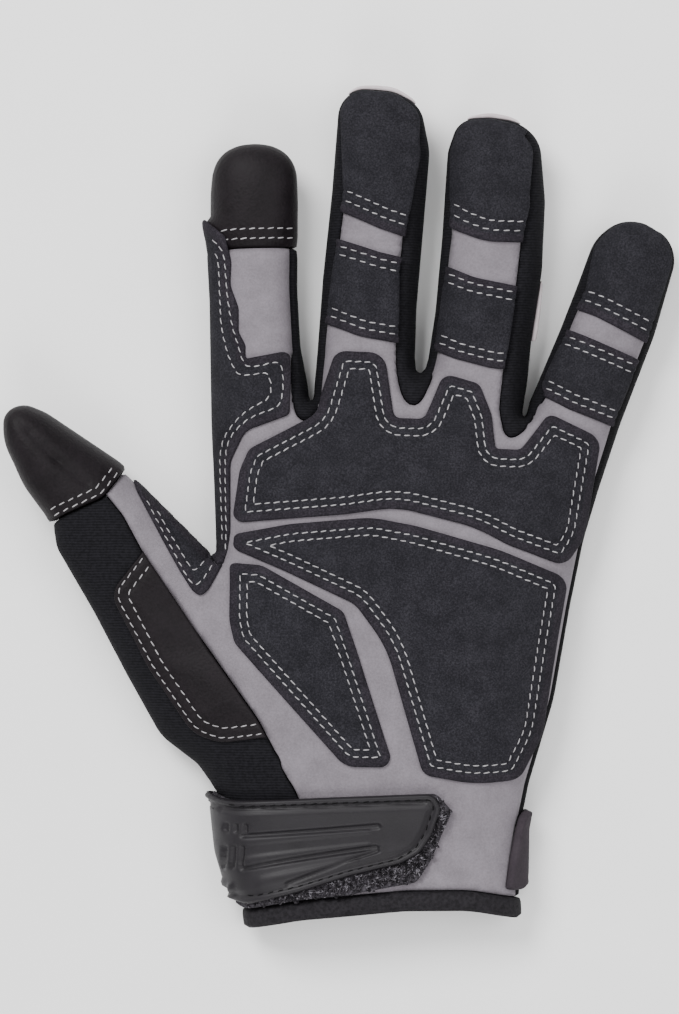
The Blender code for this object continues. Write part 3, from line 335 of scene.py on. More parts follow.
# Patches between two finger lines: name, upper line, lower line.
FINGER_PATCHES = [
    ("middle_tip_patch", "middle_end", "middle_tip"),
    ("middle_mid_patch", "middle_mid_top", "middle_mid_low"),
    ("ring_tip_patch", "ring_end", "ring_tip"),
    ("ring_mid_patch", "ring_mid_top", "ring_mid_low"),
    ("little_tip_patch", "little_end", "little_tip"),
    ("little_mid_patch", "little_mid_top", "little_mid_low"),
]
BACK_GUARDS = [
    ("middle_tip_guard", "middle_end", "middle_guard_low"),
    ("ring_tip_guard", "ring_end", "ring_guard_low"),
    ("ring_side_guard", "ring_side_top", "ring_side_low"),
]

# Rises and hollows of the palm side. Columns: across, along, reach across, reach along, height as a share
# of FRONT_RISE.
MOUNDS = [
    (0.02, 0.62, 0.16, 0.22, -0.20),
    (-0.24, 0.50, 0.14, 0.16, 0.12),
    (0.30, 0.45, 0.14, 0.22, 0.10),
    (-0.50, 0.62, 0.10, 0.12, -0.22),
    (-0.05, 0.16, 0.60, 0.09, -0.25),
]

# Places where the back is raised over a piece that wraps round the edge. Columns: across, along, reach
# across, reach along, height in metres.
BACK_LIFTS = [
    (-0.45, 0.155, 0.32, 0.24, STRAP_TOP + 3 * SEAM_GAP),
    (0.37, 0.150, 0.20, 0.16, TAB_TOP + 3 * SEAM_GAP),
    (0.00, 0.010, 0.60, 0.10, BINDING_PROUD + 2 * SEAM_GAP),
]

# Soft folds of the palm side. Columns: from across and along, to across and along, width and height in
# metres.
FOLDS = [
    # creases of the thumb cap
    (-0.985, 1.000, -0.930, 0.958, 0.0012, -0.0013),
    (-0.930, 0.958, -0.860, 0.905, 0.0015, -0.0015),
    (-0.860, 0.905, -0.780, 0.858, 0.0016, -0.0013),
    (-0.915, 0.975, -0.850, 0.925, 0.0026, 0.0010),
    (-0.935, 0.925, -0.880, 0.885, 0.0026, 0.0010),
    (-0.900, 0.935, -0.878, 0.950, 0.0010, 0.0004),
    # bends of the fingers
    (-0.120, 1.590, 0.100, 1.500, 0.0040, -0.0005),
    (0.190, 1.510, 0.400, 1.460, 0.0040, -0.0005),
    (0.550, 1.270, 0.770, 1.150, 0.0040, -0.0005),
    (-0.400, 1.450, -0.230, 1.440, 0.0060, -0.0005),
    # the root of the thumb
    (-0.500, 0.640, -0.380, 0.480, 0.0060, -0.0005),
]

# Places with small creases, which take a finer mesh. Columns: across, along, reach across, reach along.
FINE_ZONES = [
    (-0.840, 0.900, 0.170, 0.130),
    (-0.370, 0.285, 0.170, 0.065),
]

# Gathered cloth. Columns: across, along, reach across, reach along, direction of the waves in radians, their
# pitch and height in metres.
GATHERS = [
    (-0.370, 0.302, 0.150, 0.036, 0.15, 0.0032, 0.00045),
    (-0.620, 0.560, 0.160, 0.220, 1.10, 0.0120, 0.00022),
    (-0.100, 0.420, 0.300, 0.160, 0.60, 0.0170, 0.00020),
    (0.450, 0.720, 0.100, 0.300, 1.30, 0.0150, 0.00018),
]

# How the waves of gathered cloth waver, across and along them: size, rate.
WAVER_ACROSS = (0.9, 1.7)
WAVER_ALONG = (0.7, 1.3)

# Stitch rows beside the lines of each finger patch: the line, and the gaps above it in metres.
TIP_GAPS = (0.0033, 0.0060)
MID_TOP_GAPS = (-0.0019, -0.0042)
MID_LOW_GAPS = (0.0024, 0.0046)
LINE_ROWS = {
    "middle_tip_patch": [("middle_tip", TIP_GAPS)],
    "middle_mid_patch": [("middle_mid_top", MID_TOP_GAPS), ("middle_mid_low", MID_LOW_GAPS)],
    "ring_tip_patch": [("ring_tip", TIP_GAPS)],
    "ring_mid_patch": [("ring_mid_top", MID_TOP_GAPS), ("ring_mid_low", MID_LOW_GAPS)],
    "little_tip_patch": [("little_tip", TIP_GAPS)],
    "little_mid_patch": [("little_mid_top", MID_TOP_GAPS), ("little_mid_low", MID_LOW_GAPS)],
}
THUMB_PATCH_ROWS = (0.0012, 0.0041)

# Stitch rows of the caps: name, how many corners of its outline the lower edge has, gaps above it in metres.
CAP_ROWS = [
    ("thumb_cap", 7, (0.0012, 0.0033)),
    ("index_cap", 3, (0.0029, 0.0057)),
]

# Shape of one stitch. Columns: place along it, share of its width, lift as a share of its height.
STATIONS = np.array([
    (-0.50, 0.35, -0.55),
    (-0.33, 0.85, 0.20),
    (0.00, 1.00, 0.42),
    (0.33, 0.85, 0.20),
    (0.50, 0.35, -0.55),
])
STITCH_SPREAD = (0.92, 1.06)
SLANT_SPREAD = (0.5, 1.4)
THREAD_SIDES = 8

# Swell of the pads and roll of the cuff binding
PAD_SWELL = 0.00035
SWELL_REACH = 0.0030
PATCH_INSET = 0.0005
BINDING_ROUND = 0.0017

# The strap's moulded cover
COVER_ROW = 0.0020
COVER_PITCH = 0.0030
COVER_STITCH = 0.0020
CHANNEL_DEPTH = 0.00065
CHANNEL_WIDTH = 0.00055
PANEL_EDGE = 0.0036
PANEL_RISE = 0.00045
PANEL_SLOPE = 0.00015
BAR_WIDTH = 0.00052

# Grooves (below nothing) and ridges of the cover. Columns: from across and along, to across and along, half
# widths at both ends, rise.
COVER_LINES = [
    (-0.350, 0.178, -0.006, 0.1990, 0.00060, 0.00085, -0.00085),
    (-0.345, 0.165, -0.030, 0.1880, 0.00110, 0.00050, 0.00030),
    (-0.400, 0.2310, 0.120, 0.2440, 0.00040, 0.00040, -0.00050),
    (-0.422, 0.2180, -0.422, 0.1520, 0.00045, 0.00045, -0.00060),
    (-0.345, 0.112, -0.010, 0.1520, 0.00060, 0.00085, -0.00085),
    (-0.345, 0.128, -0.030, 0.1600, 0.00110, 0.00050, 0.00030),
    (-0.240, 0.080, -0.006, 0.1440, 0.00060, 0.00050, -0.00080),
    (-0.300, 0.088, -0.060, 0.1240, 0.00120, 0.00050, 0.00030),
]

# Upright slots and bars at the strap's folded end. Columns: across, lower end along, upper end along, rise.
COVER_BARS = [
    (-0.384, 0.187, 0.199, -0.0010), (-0.364, 0.187, 0.199, -0.0010), (-0.343, 0.187, 0.199, -0.0010),
    (-0.386, 0.118, 0.154, -0.0010), (-0.368, 0.118, 0.154, -0.0010), (-0.349, 0.118, 0.154, -0.0010),
    (-0.400, 0.060, 0.092, 0.0009), (-0.383, 0.058, 0.088, 0.0009), (-0.366, 0.056, 0.084, 0.0009),
]

# Fibres of the strap's under layer
PILE_TRIES = 8000
PILE_LENGTHS = (0.0010, 0.0022)
PILE_HEIGHTS = (0.0005, 0.0014)
PILE_WIDTH = 0.00026
PILE_OVERLAP = 0.0004
PILE_CLEAR = 0.0015

# Where each piece's random draws start
PAD_SEED, SIDE_SEED, FINGER_SEED, THUMB_SEED = 0, 10, 20, 30
COVER_SEED, PILE_SEED, FIBRE_SEED, CAP_SEED = 40, 50, 51, 60

BASE_LOOKS = {
    "palm_panel": "palm_suede",
    "back_panel": "back_fabric",
    "cuff_binding": "binding_knit",
    "index_cap": "smooth_cap",
    "thumb_cap": "smooth_cap",
}

# Materials: colours along their grain, grains and bumps (kind, size in metres, detail, weight), roughness,
# bump depth in metres, and other settings.
MATERIALS = {
    "palm_suede": (
        [(0.38, (0.140, 0.126, 0.142)), (0.62, (0.186, 0.168, 0.190))],
        [("noise", 0.007, 3, 0.45), ("noise", 0.0006, 4, 0.55)],
        [("noise", 0.0005, 4, 0.7), ("noise", 0.0022, 3, 0.3)], 0.95, 0.00022, {"sheen": 0.05},
    ),
    "charcoal_grip": (
        [
            (0.38, (0.0080, 0.0078, 0.0100)),
            (0.50, (0.0135, 0.0130, 0.0164)),
            (0.64, (0.0255, 0.0245, 0.0300)),
        ],
        [("noise", 0.0060, 2, 0.25), ("noise", 0.0005, 4, 0.75)],
        [("noise", 0.00055, 4, 1.0)], 0.88, 0.00030, {"border": ((1.16, 1.04, 1.08), 0.0024)},
    ),
    "black_knit": (
        [(0.35, (0.0034, 0.0033, 0.0043)), (0.65, (0.0096, 0.0092, 0.0116))],
        [("ribs", 0.0008, 2.0, 0.22), ("noise", 0.0009, 4, 0.78)],
        [("ribs", 0.0008, 2.0, 0.35), ("noise", 0.0006, 3, 0.65)], 0.92, 0.00022, {},
    ),
    "back_fabric": (
        [(0.35, (0.0030, 0.0030, 0.0034)), (0.65, (0.0085, 0.0083, 0.0091))],
        [("ribs", 0.0007, 1.2, 0.20), ("noise", 0.0009, 4, 0.80)],
        [("ribs", 0.0007, 1.2, 0.40), ("noise", 0.0006, 3, 0.60)], 0.92, 0.00020, {},
    ),
    "smooth_cap": (
        [(0.36, (0.0040, 0.0029, 0.0037)), (0.64, (0.0100, 0.0077, 0.0094))],
        [("noise", 0.008, 3, 0.45), ("noise", 0.0008, 4, 0.55)],
        [("noise", 0.0012, 4, 0.6), ("cells", 0.0008, 1.0, 0.4)], 0.56, 0.00018,
        {"rough_grain": 0.10, "specular": 0.12},
    ),
    "binding_knit": (
        [(0.35, (0.0080, 0.0072, 0.0086)), (0.65, (0.0180, 0.0164, 0.0192))],
        [("noise", 0.0010, 3, 1.0)],
        [("noise", 0.0004, 4, 1.0)], 0.80, 0.00020, {},
    ),
    "strap_pile": (
        [(0.35, (0.0110, 0.0098, 0.0118)), (0.65, (0.062, 0.057, 0.066))],
        [("noise", 0.0009, 4, 1.0)],
        [("noise", 0.0008, 4, 1.0)], 0.95, 0.0008, {},
    ),
    "strap_rubber": (
        [(0.35, (0.0082, 0.0070, 0.0088)), (0.65, (0.0128, 0.0112, 0.0138))],
        [("noise", 0.008, 3, 0.6), ("noise", 0.0006, 3, 0.4)],
        [("noise", 0.0005, 3, 1.0)], 0.50, 0.00004, {"rough_grain": 0.06, "specular": 0.26},
    ),
    "tab_webbing": (
        [(0.35, (0.026, 0.021, 0.026)), (0.65, (0.038, 0.031, 0.037))],
        [("noise", 0.006, 3, 0.5), ("noise", 0.0008, 3, 0.5)],
        [("noise", 0.0006, 4, 1.0)], 0.88, 0.00020, {},
    ),
    "pale_rubber": (
        [(0.35, (0.52, 0.45, 0.47)), (0.65, (0.60, 0.54, 0.56))],
        [("noise", 0.004, 2, 1.0)],
        [("noise", 0.0006, 3, 1.0)], 0.55, 0.00005, {"specular": 0.4},
    ),
    "thread": (
        [(0.35, (0.23, 0.22, 0.23)), (0.65, (0.36, 0.35, 0.36))],
        [("noise", 0.0011, 3, 1.0)],
        [("noise", 0.00025, 2, 1.0)], 0.80, 0.00008, {},
    ),
    "dark_thread": (
        [(0.35, (0.0020, 0.0019, 0.0021)), (0.65, (0.0050, 0.0048, 0.0052))],
        [("noise", 0.0008, 3, 1.0)],
        [("noise", 0.00025, 2, 1.0)], 0.80, 0.00008, {},
    ),
    "pile_fibre": (
        [(0.44, (0.0120, 0.0108, 0.0128)), (0.54, (0.056, 0.051, 0.058)), (0.64, (0.18, 0.17, 0.19))],
        [("noise", 0.0013, 3, 1.0)],
        [("noise", 0.0004, 2, 1.0)], 0.85, 0.00010, {},
    ),
}

RIB_DETAIL = {"Detail": 1.5, "Detail Scale": 0.4}
NOISE_ROUGHNESS = 0.6
BUMP_STRENGTH = 0.8
BORDER_FADE = (0.8, 1.1)
GRAIN_SPAN = (0.3, 0.7)

# The stage. Lights: name, place, size, power.
FLOOR = 3.0
FLOOR_LOOK = (
    [(0.3, (0.93, 0.93, 0.93)), (0.7, (0.96, 0.96, 0.96))],
    [("noise", 0.05, 2, 1.0)],
    [("noise", 0.003, 2, 1.0)], 0.8, 0.00002,
)
LIGHTS = [
    ("key", (-0.55, 0.75, 1.15), 0.7, 24.0),
    ("fill", (0.75, 0.10, 1.20), 1.0, 9.0),
    ("low", (-0.10, -0.95, 0.85), 0.7, 7.0),
]
WORLD_LIGHT = 0.75
SENSOR = 36.0
CAMERA_HEIGHT = 1.60
PALM_LEVEL = 0.018
VIEW_HEIGHT = 0.2961
VIEW_CENTRE = (-0.0001, -0.0004)

# The row frame's origin in this plan: the middle of the glove's box, on the resting plane
ORIGIN = np.array([-0.0117, 0.1225, 0.0])

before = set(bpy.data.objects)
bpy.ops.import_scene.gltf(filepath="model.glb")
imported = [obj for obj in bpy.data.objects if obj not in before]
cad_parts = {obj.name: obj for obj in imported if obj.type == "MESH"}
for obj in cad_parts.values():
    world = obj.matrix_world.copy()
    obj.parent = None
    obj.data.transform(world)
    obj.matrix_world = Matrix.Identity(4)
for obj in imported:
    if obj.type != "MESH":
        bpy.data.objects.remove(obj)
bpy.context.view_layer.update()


def place(across, along):
    """Plan position of a share pair."""
    palm = min(along, 1.0) * PALM_LENGTH
    finger = max(along - 1.0, 0.0) * FINGER_REACH
    return across * HAND_WIDTH, palm + finger


def shares(xy):
    """Share pairs of plan positions."""
    along = np.where(
        xy[:, 1] < PALM_LENGTH, xy[:, 1] / PALM_LENGTH, 1 + (xy[:, 1] - PALM_LENGTH) / FINGER_REACH
    )
    return xy[:, 0] / HAND_WIDTH, along


def subdivided(path, step):
    """The path with every long straight run cut into steps. Each row holds x, y and any carried values."""
    rows = [path[0]]
    for start, end in zip(path[:-1], path[1:]):
        count = max(1, math.ceil(np.hypot(*(end - start)[:2]) / step - 0.3))
        rows.extend(start + (end - start) * k / count for k in range(1, count + 1))
    return np.array(rows)


def rounded(rows, step, closed=True):
    """The outline with an arc at each corner. Rows: x, y, radius and any values carried along."""
    corners = np.array([(*place(row[0], row[1]), row[2] * HAND_WIDTH, *row[3:]) for row in rows])
    count = len(corners)
    path = []
    for k, corner in enumerate(corners):
        point, radius, carried = corner[:2], corner[2], corner[3:]
        if radius <= 0 or (not closed and k in (0, count - 1)):
            path.append(np.concatenate([point, carried]))
            continue
        before = corners[k - 1][:2] - point
        after = corners[(k + 1) % count][:2] - point
        before_length, after_length = np.hypot(*before), np.hypot(*after)
        before, after = before / before_length, after / after_length
        inner = math.acos(max(-1.0, min(1.0, float(before @ after))))
        turn = math.pi - inner
        reach = min(radius * math.tan(turn / 2), CORNER_SHARE * before_length, CORNER_SHARE * after_length)
        radius = reach / math.tan(turn / 2) if turn > 1e-4 else 0
        pieces = max(1, math.ceil(max(turn / ARC_TURN, radius * turn / step) - 0.2))
        start, end = point + before * reach, point + after * reach
        weight = math.cos(turn / 2)
        for piece in range(pieces + 1):
            t = piece / pieces
            a, b, c = (1 - t) ** 2, 2 * t * (1 - t) * weight, t**2
            spot = (a * start + b * point + c * end) / (a + b + c)
            path.append(np.concatenate([spot, carried]))
    if closed:
        path.append(path[0])
    path = subdivided(np.array(path), step)
    if closed:
        path = path[:-1]
    keep = np.hypot(*(path - np.roll(path, 1, axis=0))[:, :2].T) > 1e-5
    return path[keep]


def closed_path(ring):
    return np.vstack([ring, ring[:1]])


def resampled(path, step):
    """The path's plan positions at even steps."""
    at = np.concatenate([[0], np.cumsum(np.hypot(*np.diff(path[:, :2], axis=0).T))])
    spots = np.linspace(0, at[-1], max(2, round(at[-1] / step) + 1))
    return np.stack([np.interp(spots, at, path[:, k]) for k in range(2)], axis=1)


def inside(xy, ring):
    """Whether each plan position lies in the closed ring."""
    found = np.zeros(len(xy), dtype=bool)
    ax, ay = ring[:, 0], ring[:, 1]
    bx, by = np.roll(ax, -1), np.roll(ay, -1)
    rise = np.where(by == ay, 1.0, by - ay)
    for first in range(0, len(xy), BLOCK):
        x, y = xy[first:first + BLOCK, 0][:, None], xy[first:first + BLOCK, 1][:, None]
        crosses = (ay > y) != (by > y)
        left = x < (bx - ax) * (y - ay) / rise + ax
        found[first:first + BLOCK] = (left & crosses).sum(axis=1) % 2 == 1
    return found


def distance(xy, paths):
    """Distance in plan from each position to the nearest of the paths."""
    starts = np.vstack([path[:-1, :2] for path in paths])
    runs = np.vstack([np.diff(path[:, :2], axis=0) for path in paths])
    size = np.maximum((runs**2).sum(axis=1), 1e-16)
    nearest = np.zeros(len(xy))
    for first in range(0, len(xy), BLOCK):
        off_x = xy[first:first + BLOCK, 0][:, None] - starts[:, 0]
        off_y = xy[first:first + BLOCK, 1][:, None] - starts[:, 1]
        t = np.clip((off_x * runs[:, 0] + off_y * runs[:, 1]) / size, 0, 1)
        off_x -= t * runs[:, 0]
        off_y -= t * runs[:, 1]
        nearest[first:first + BLOCK] = np.sqrt((off_x**2 + off_y**2).min(axis=1))
    return nearest


def smooth_distance(xy, ring):
    """A smooth distance to the ring: the true one near one edge, less where edges face each other."""
    found = np.zeros(len(xy))
    for first in range(0, len(xy), BLOCK):
        arm_x = ring[:, 0] - xy[first:first + BLOCK, 0][:, None]
        arm_y = ring[:, 1] - xy[first:first + BLOCK, 1][:, None]
        length = np.maximum(np.sqrt(arm_x**2 + arm_y**2), 1e-9)
        after_x, after_y, after = (np.roll(part, -1, axis=1) for part in (arm_x, arm_y, length))
        cross = arm_x * after_y - arm_y * after_x
        dot = arm_x * after_x + arm_y * after_y
        half_tangent = cross / np.maximum(length * after + dot, 1e-12)
        total = ((1 / length + 1 / after) * half_tangent).sum(axis=1)
        found[first:first + BLOCK] = 2 / np.maximum(total, 1e-6)
    return found


def curl(xy):
    """How far the fingertips and the thumb rise towards the palm side."""
    across, along = shares(xy)
    finger = np.clip(along - 1, 0, None) ** 2 * FINGER_CURL
    thumb = np.clip((THUMB_START - across) / (1 + THUMB_START), 0, None) ** 2 * THUMB_CURL
    return finger + thumb


def spot_offset(across, along, spot, power=2):
    """How far share pairs lie from a spot, in its own reaches, to a power."""
    at_across, at_along, reach_across, reach_along = spot
    return ((across - at_across) / reach_across) ** power + ((along - at_along) / reach_along) ** power


def front_height(xy, depth):
    """Height of the palm side, for the smooth distance from the side edge."""
    across, along = shares(xy)
    full = np.tanh(depth / FRONT_ROUND)
    height = EDGE_HEIGHT + curl(xy) + FRONT_RISE * np.sqrt(full)
    for *spot, share in MOUNDS:
        height += FRONT_RISE * share * full * np.exp(-spot_offset(across, along, spot))
    return height + full * folds(xy)


def back_height(xy, depth):
    """Height of the back, flattened where it rests."""
    across, along = shares(xy)
    pressed = np.clip(1 - BACK_PRESS * np.sqrt(np.tanh(depth / BACK_ROUND)), 0, None)
    height = np.zeros(len(xy))
    for *spot, lift in BACK_LIFTS:
        height = np.maximum(height, lift * np.exp(-spot_offset(across, along, spot, 4)))
    return curl(xy) + height + (EDGE_HEIGHT - height) * pressed


def folds(xy):
    """Height of the soft folds and creases of the palm side."""
    height = np.zeros(len(xy))
    for from_across, from_along, to_across, to_along, width, rise in FOLDS:
        line = np.array([place(from_across, from_along), place(to_across, to_along)])
        height += rise * np.exp(-((distance(xy, [line]) / width) ** 2))
    across, along = shares(xy)
    for *spot, turn, pitch, rise in GATHERS:
        off = spot_offset(across, along, spot)
        run = xy[:, 0] * math.cos(turn) + xy[:, 1] * math.sin(turn)
        cross = xy[:, 1] * math.cos(turn) - xy[:, 0] * math.sin(turn)
        waver = WAVER_ACROSS[0] * np.sin(cross / pitch * WAVER_ACROSS[1])
        waver += WAVER_ALONG[0] * np.sin(run / pitch * WAVER_ALONG[1] + 1)
        height += rise * np.exp(-(off**2)) * np.sin(2 * math.pi * run / pitch + waver)
    return height


def inward(path, closed=False):
    """Unit vectors to the left of a path, at its points."""
    ends = np.vstack([path[-1:], path, path[:1]]) if closed else path
    run = np.diff(ends[:, :2], axis=0)
    left = np.stack([-run[:, 1], run[:, 0]], axis=1)
    left /= np.maximum(np.hypot(*left.T), 1e-12)[:, None]
    both = left[:-1] + left[1:]
    if not closed:
        both = np.vstack([left[:1], both, left[-1:]])
    return both / np.maximum(np.hypot(*both.T), 1e-9)[:, None]


def inset(path, widths):
    """The path moved inwards by its widths, with both ends run on past the cuff."""
    moved = path[:, :2] + inward(path) * widths[:, None]
    first = moved[0] - (moved[1] - moved[0]) / np.hypot(*(moved[1] - moved[0])) * OVERRUN
    last = moved[-1] - (moved[-2] - moved[-1]) / np.hypot(*(moved[-2] - moved[-1])) * OVERRUN
    return np.vstack([first, moved, last])


def leftwards(ring):
    """The ring turned so that its inside is on its left."""
    x, y = ring[:, 0], ring[:, 1]
    area = (x * np.roll(y, -1) - y * np.roll(x, -1)).sum()
    return ring if area > 0 else ring[::-1]


def ring_row(ring, gap):
    """The closed line that runs inside the ring at the gap from it, without loops at tight corners."""
    dense = resampled(closed_path(leftwards(ring)[:, :2]), FINE)[:-1]
    moved = dense + inward(dense, closed=True) * gap
    moved = moved[distance(moved, [closed_path(ring)]) > gap - FINE / 8]
    return closed_path(resampled(closed_path(moved), FINE)[:-1])


def curve(rows):
    """The smooth line along share pairs."""
    return rounded([(*row, ROW_ROUND / HAND_WIDTH) for row in rows], STEP, closed=False)[:, :2]


def bent(seam, rows):
    """The seam with its stretch between the ends of a curve laid along that curve."""
    line = curve(rows)
    first, last = (int(np.hypot(*(seam - end).T).argmin()) for end in (line[0], line[-1]))
    even = resampled(line, FINE)
    seam = seam.copy()
    picked = np.linspace(0, len(even) - 1, last - first + 1).round().astype(int)
    seam[first:last + 1] = even[picked]
    return seam


def line_row(line, gap):
    """An open line moved to its left by the gap, without loops at tight corners."""
    dense = resampled(line, FINE)
    moved = dense + inward(dense) * gap
    return resampled(moved[distance(moved, [line]) > abs(gap) - FINE / 8], FINE)


def runs(path, wanted):
    """The stretches of a path whose points are wanted. A closed path is turned to start where one starts."""
    if wanted.all():
        return [path]
    if (path[0] == path[-1]).all():
        turn = int(np.flatnonzero(~wanted)[0])
        path, wanted = np.roll(path[:-1], -turn, axis=0), np.roll(wanted[:-1], -turn)
    edges = np.flatnonzero(np.diff(np.concatenate([[0], wanted.astype(int), [0]])))
    return [path[a:b] for a, b in zip(edges[::2], edges[1::2]) if b - a > 4]


def even_grid(low, high, spacing):
    """A triangular grid in a box."""
    rows = np.arange(low[1] + spacing / 3, high[1], spacing * math.sqrt(0.75))
    return np.array([
        (x, y)
        for k, y in enumerate(rows)
        for x in np.arange(low[0] + spacing / 3 + (k % 2) * spacing / 2, high[0], spacing)
    ]).reshape(-1, 2)


def triangulated(paths, spacing, keep, zones=()):
    """Plan triangles of the kept area: an edge along every path, between them a grid, finer in zones."""
    points, edges = [], []
    for path in paths:
        first = len(points)
        points.extend(Vector(p) for p in path[:, :2])
        edges.extend((first + k, first + k + 1) for k in range(len(path) - 1))
    every = np.vstack([path[:, :2] for path in paths])
    low, high = every.min(axis=0), every.max(axis=0)
    grid = even_grid(low, high, spacing)
    room = np.full(len(grid), 0.5 * spacing)
    for across, along, reach_across, reach_along in zones:
        start = place(across - reach_across, along - reach_along)
        end = place(across + reach_across, along + reach_along)
        outside = ((grid < start) | (grid > end)).any(axis=1)
        finer = even_grid(start, end, FINE_GRID)
        grid = np.vstack([grid[outside], finer])
        room = np.concatenate([room[outside], np.full(len(finer), 0.5 * FINE_GRID)])
    kept = keep(grid)
    grid, room = grid[kept], room[kept]
    if len(grid):
        grid = grid[distance(grid, paths) > room]
    points.extend(Vector(p) for p in grid)
    made = delaunay_2d_cdt(points, edges, [], 0, 1e-7, False)
    xy = np.array([tuple(p) for p in made[0]])
    faces = np.array([tuple(f) for f in made[2]])
    faces = faces[keep(xy[faces].mean(axis=1))]
    used, index = np.unique(faces, return_inverse=True)
    a, b, c = (xy[faces[:, k]] for k in range(3))
    turn = (b - a)[:, 0] * (c - a)[:, 1] - (b - a)[:, 1] * (c - a)[:, 0]
    faces = index.reshape(-1, 3)
    faces[turn < 0] = faces[turn < 0][:, ::-1]
    return xy[used], faces


def unit(vectors):
    """The vectors brought to length one."""
    return vectors / np.maximum(np.linalg.norm(vectors, axis=1), TINY)[:, None]


def kd_tree(points, numbers):
    """A search tree of numbered points."""
    tree = KDTree(len(points))
    for point, number in zip(points, numbers):
        tree.insert(point, int(number))
    tree.balance()
    return tree


def rim_of(faces):
    """The directed edges that only one face has, and the face of each."""
    directed = np.vstack([faces[:, [0, 1]], faces[:, [1, 2]], faces[:, [2, 0]]])
    known = {tuple(edge) for edge in directed.tolist()}
    rim = np.array([(b, a) not in known for a, b in directed.tolist()])
    return directed[rim], np.tile(np.arange(len(faces)), 3)[rim]


def outline_of(xy, faces):
    """The longest closed line of rim edges."""
    edges, _ = rim_of(faces)
    after = {a: b for a, b in edges.tolist()}
    longest = []
    while after:
        start, spot = next(iter(after.items()))
        loop = [start]
        del after[start]
        while spot in after:
            loop.append(spot)
            spot = after.pop(spot)
        longest = max(longest, loop, key=len)
    return xy[longest]


class Sheet:
    """Part of the glove's surface: points, triangles, plan positions, and which triangles face the palm."""

    def __init__(self, points, faces, xy, on_front):
        self.points, self.faces, self.xy, self.on_front = points, faces, xy, on_front
        weighted = np.cross(
            points[faces[:, 1]] - points[faces[:, 0]], points[faces[:, 2]] - points[faces[:, 0]]
        )
        normals = np.zeros_like(points)
        for k in range(3):
            np.add.at(normals, faces[:, k], weighted)
        self.normals = unit(normals)

    def middles(self):
        return self.xy[self.faces].mean(axis=1)

    def part(self, mask):
        """The sheet of the chosen triangles, with the whole sheet's normals."""
        used, index = np.unique(self.faces[mask], return_inverse=True)
        made = Sheet(self.points[used], index.reshape(-1, 3), self.xy[used], self.on_front[mask])
        made.normals = self.normals[used]
        return made

    def rim_distance(self):
        """Distance of every point from the sheet's own rim."""
        edges, _ = rim_of(self.faces)
        steps = np.linspace(0, 1, 9)[:-1, None, None]
        marks = (self.points[edges[:, 0]] * (1 - steps) + self.points[edges[:, 1]] * steps).reshape(-1, 3)
        tree = kd_tree(marks, range(len(marks)))
        return np.array([tree.find(point)[2] for point in self.points])


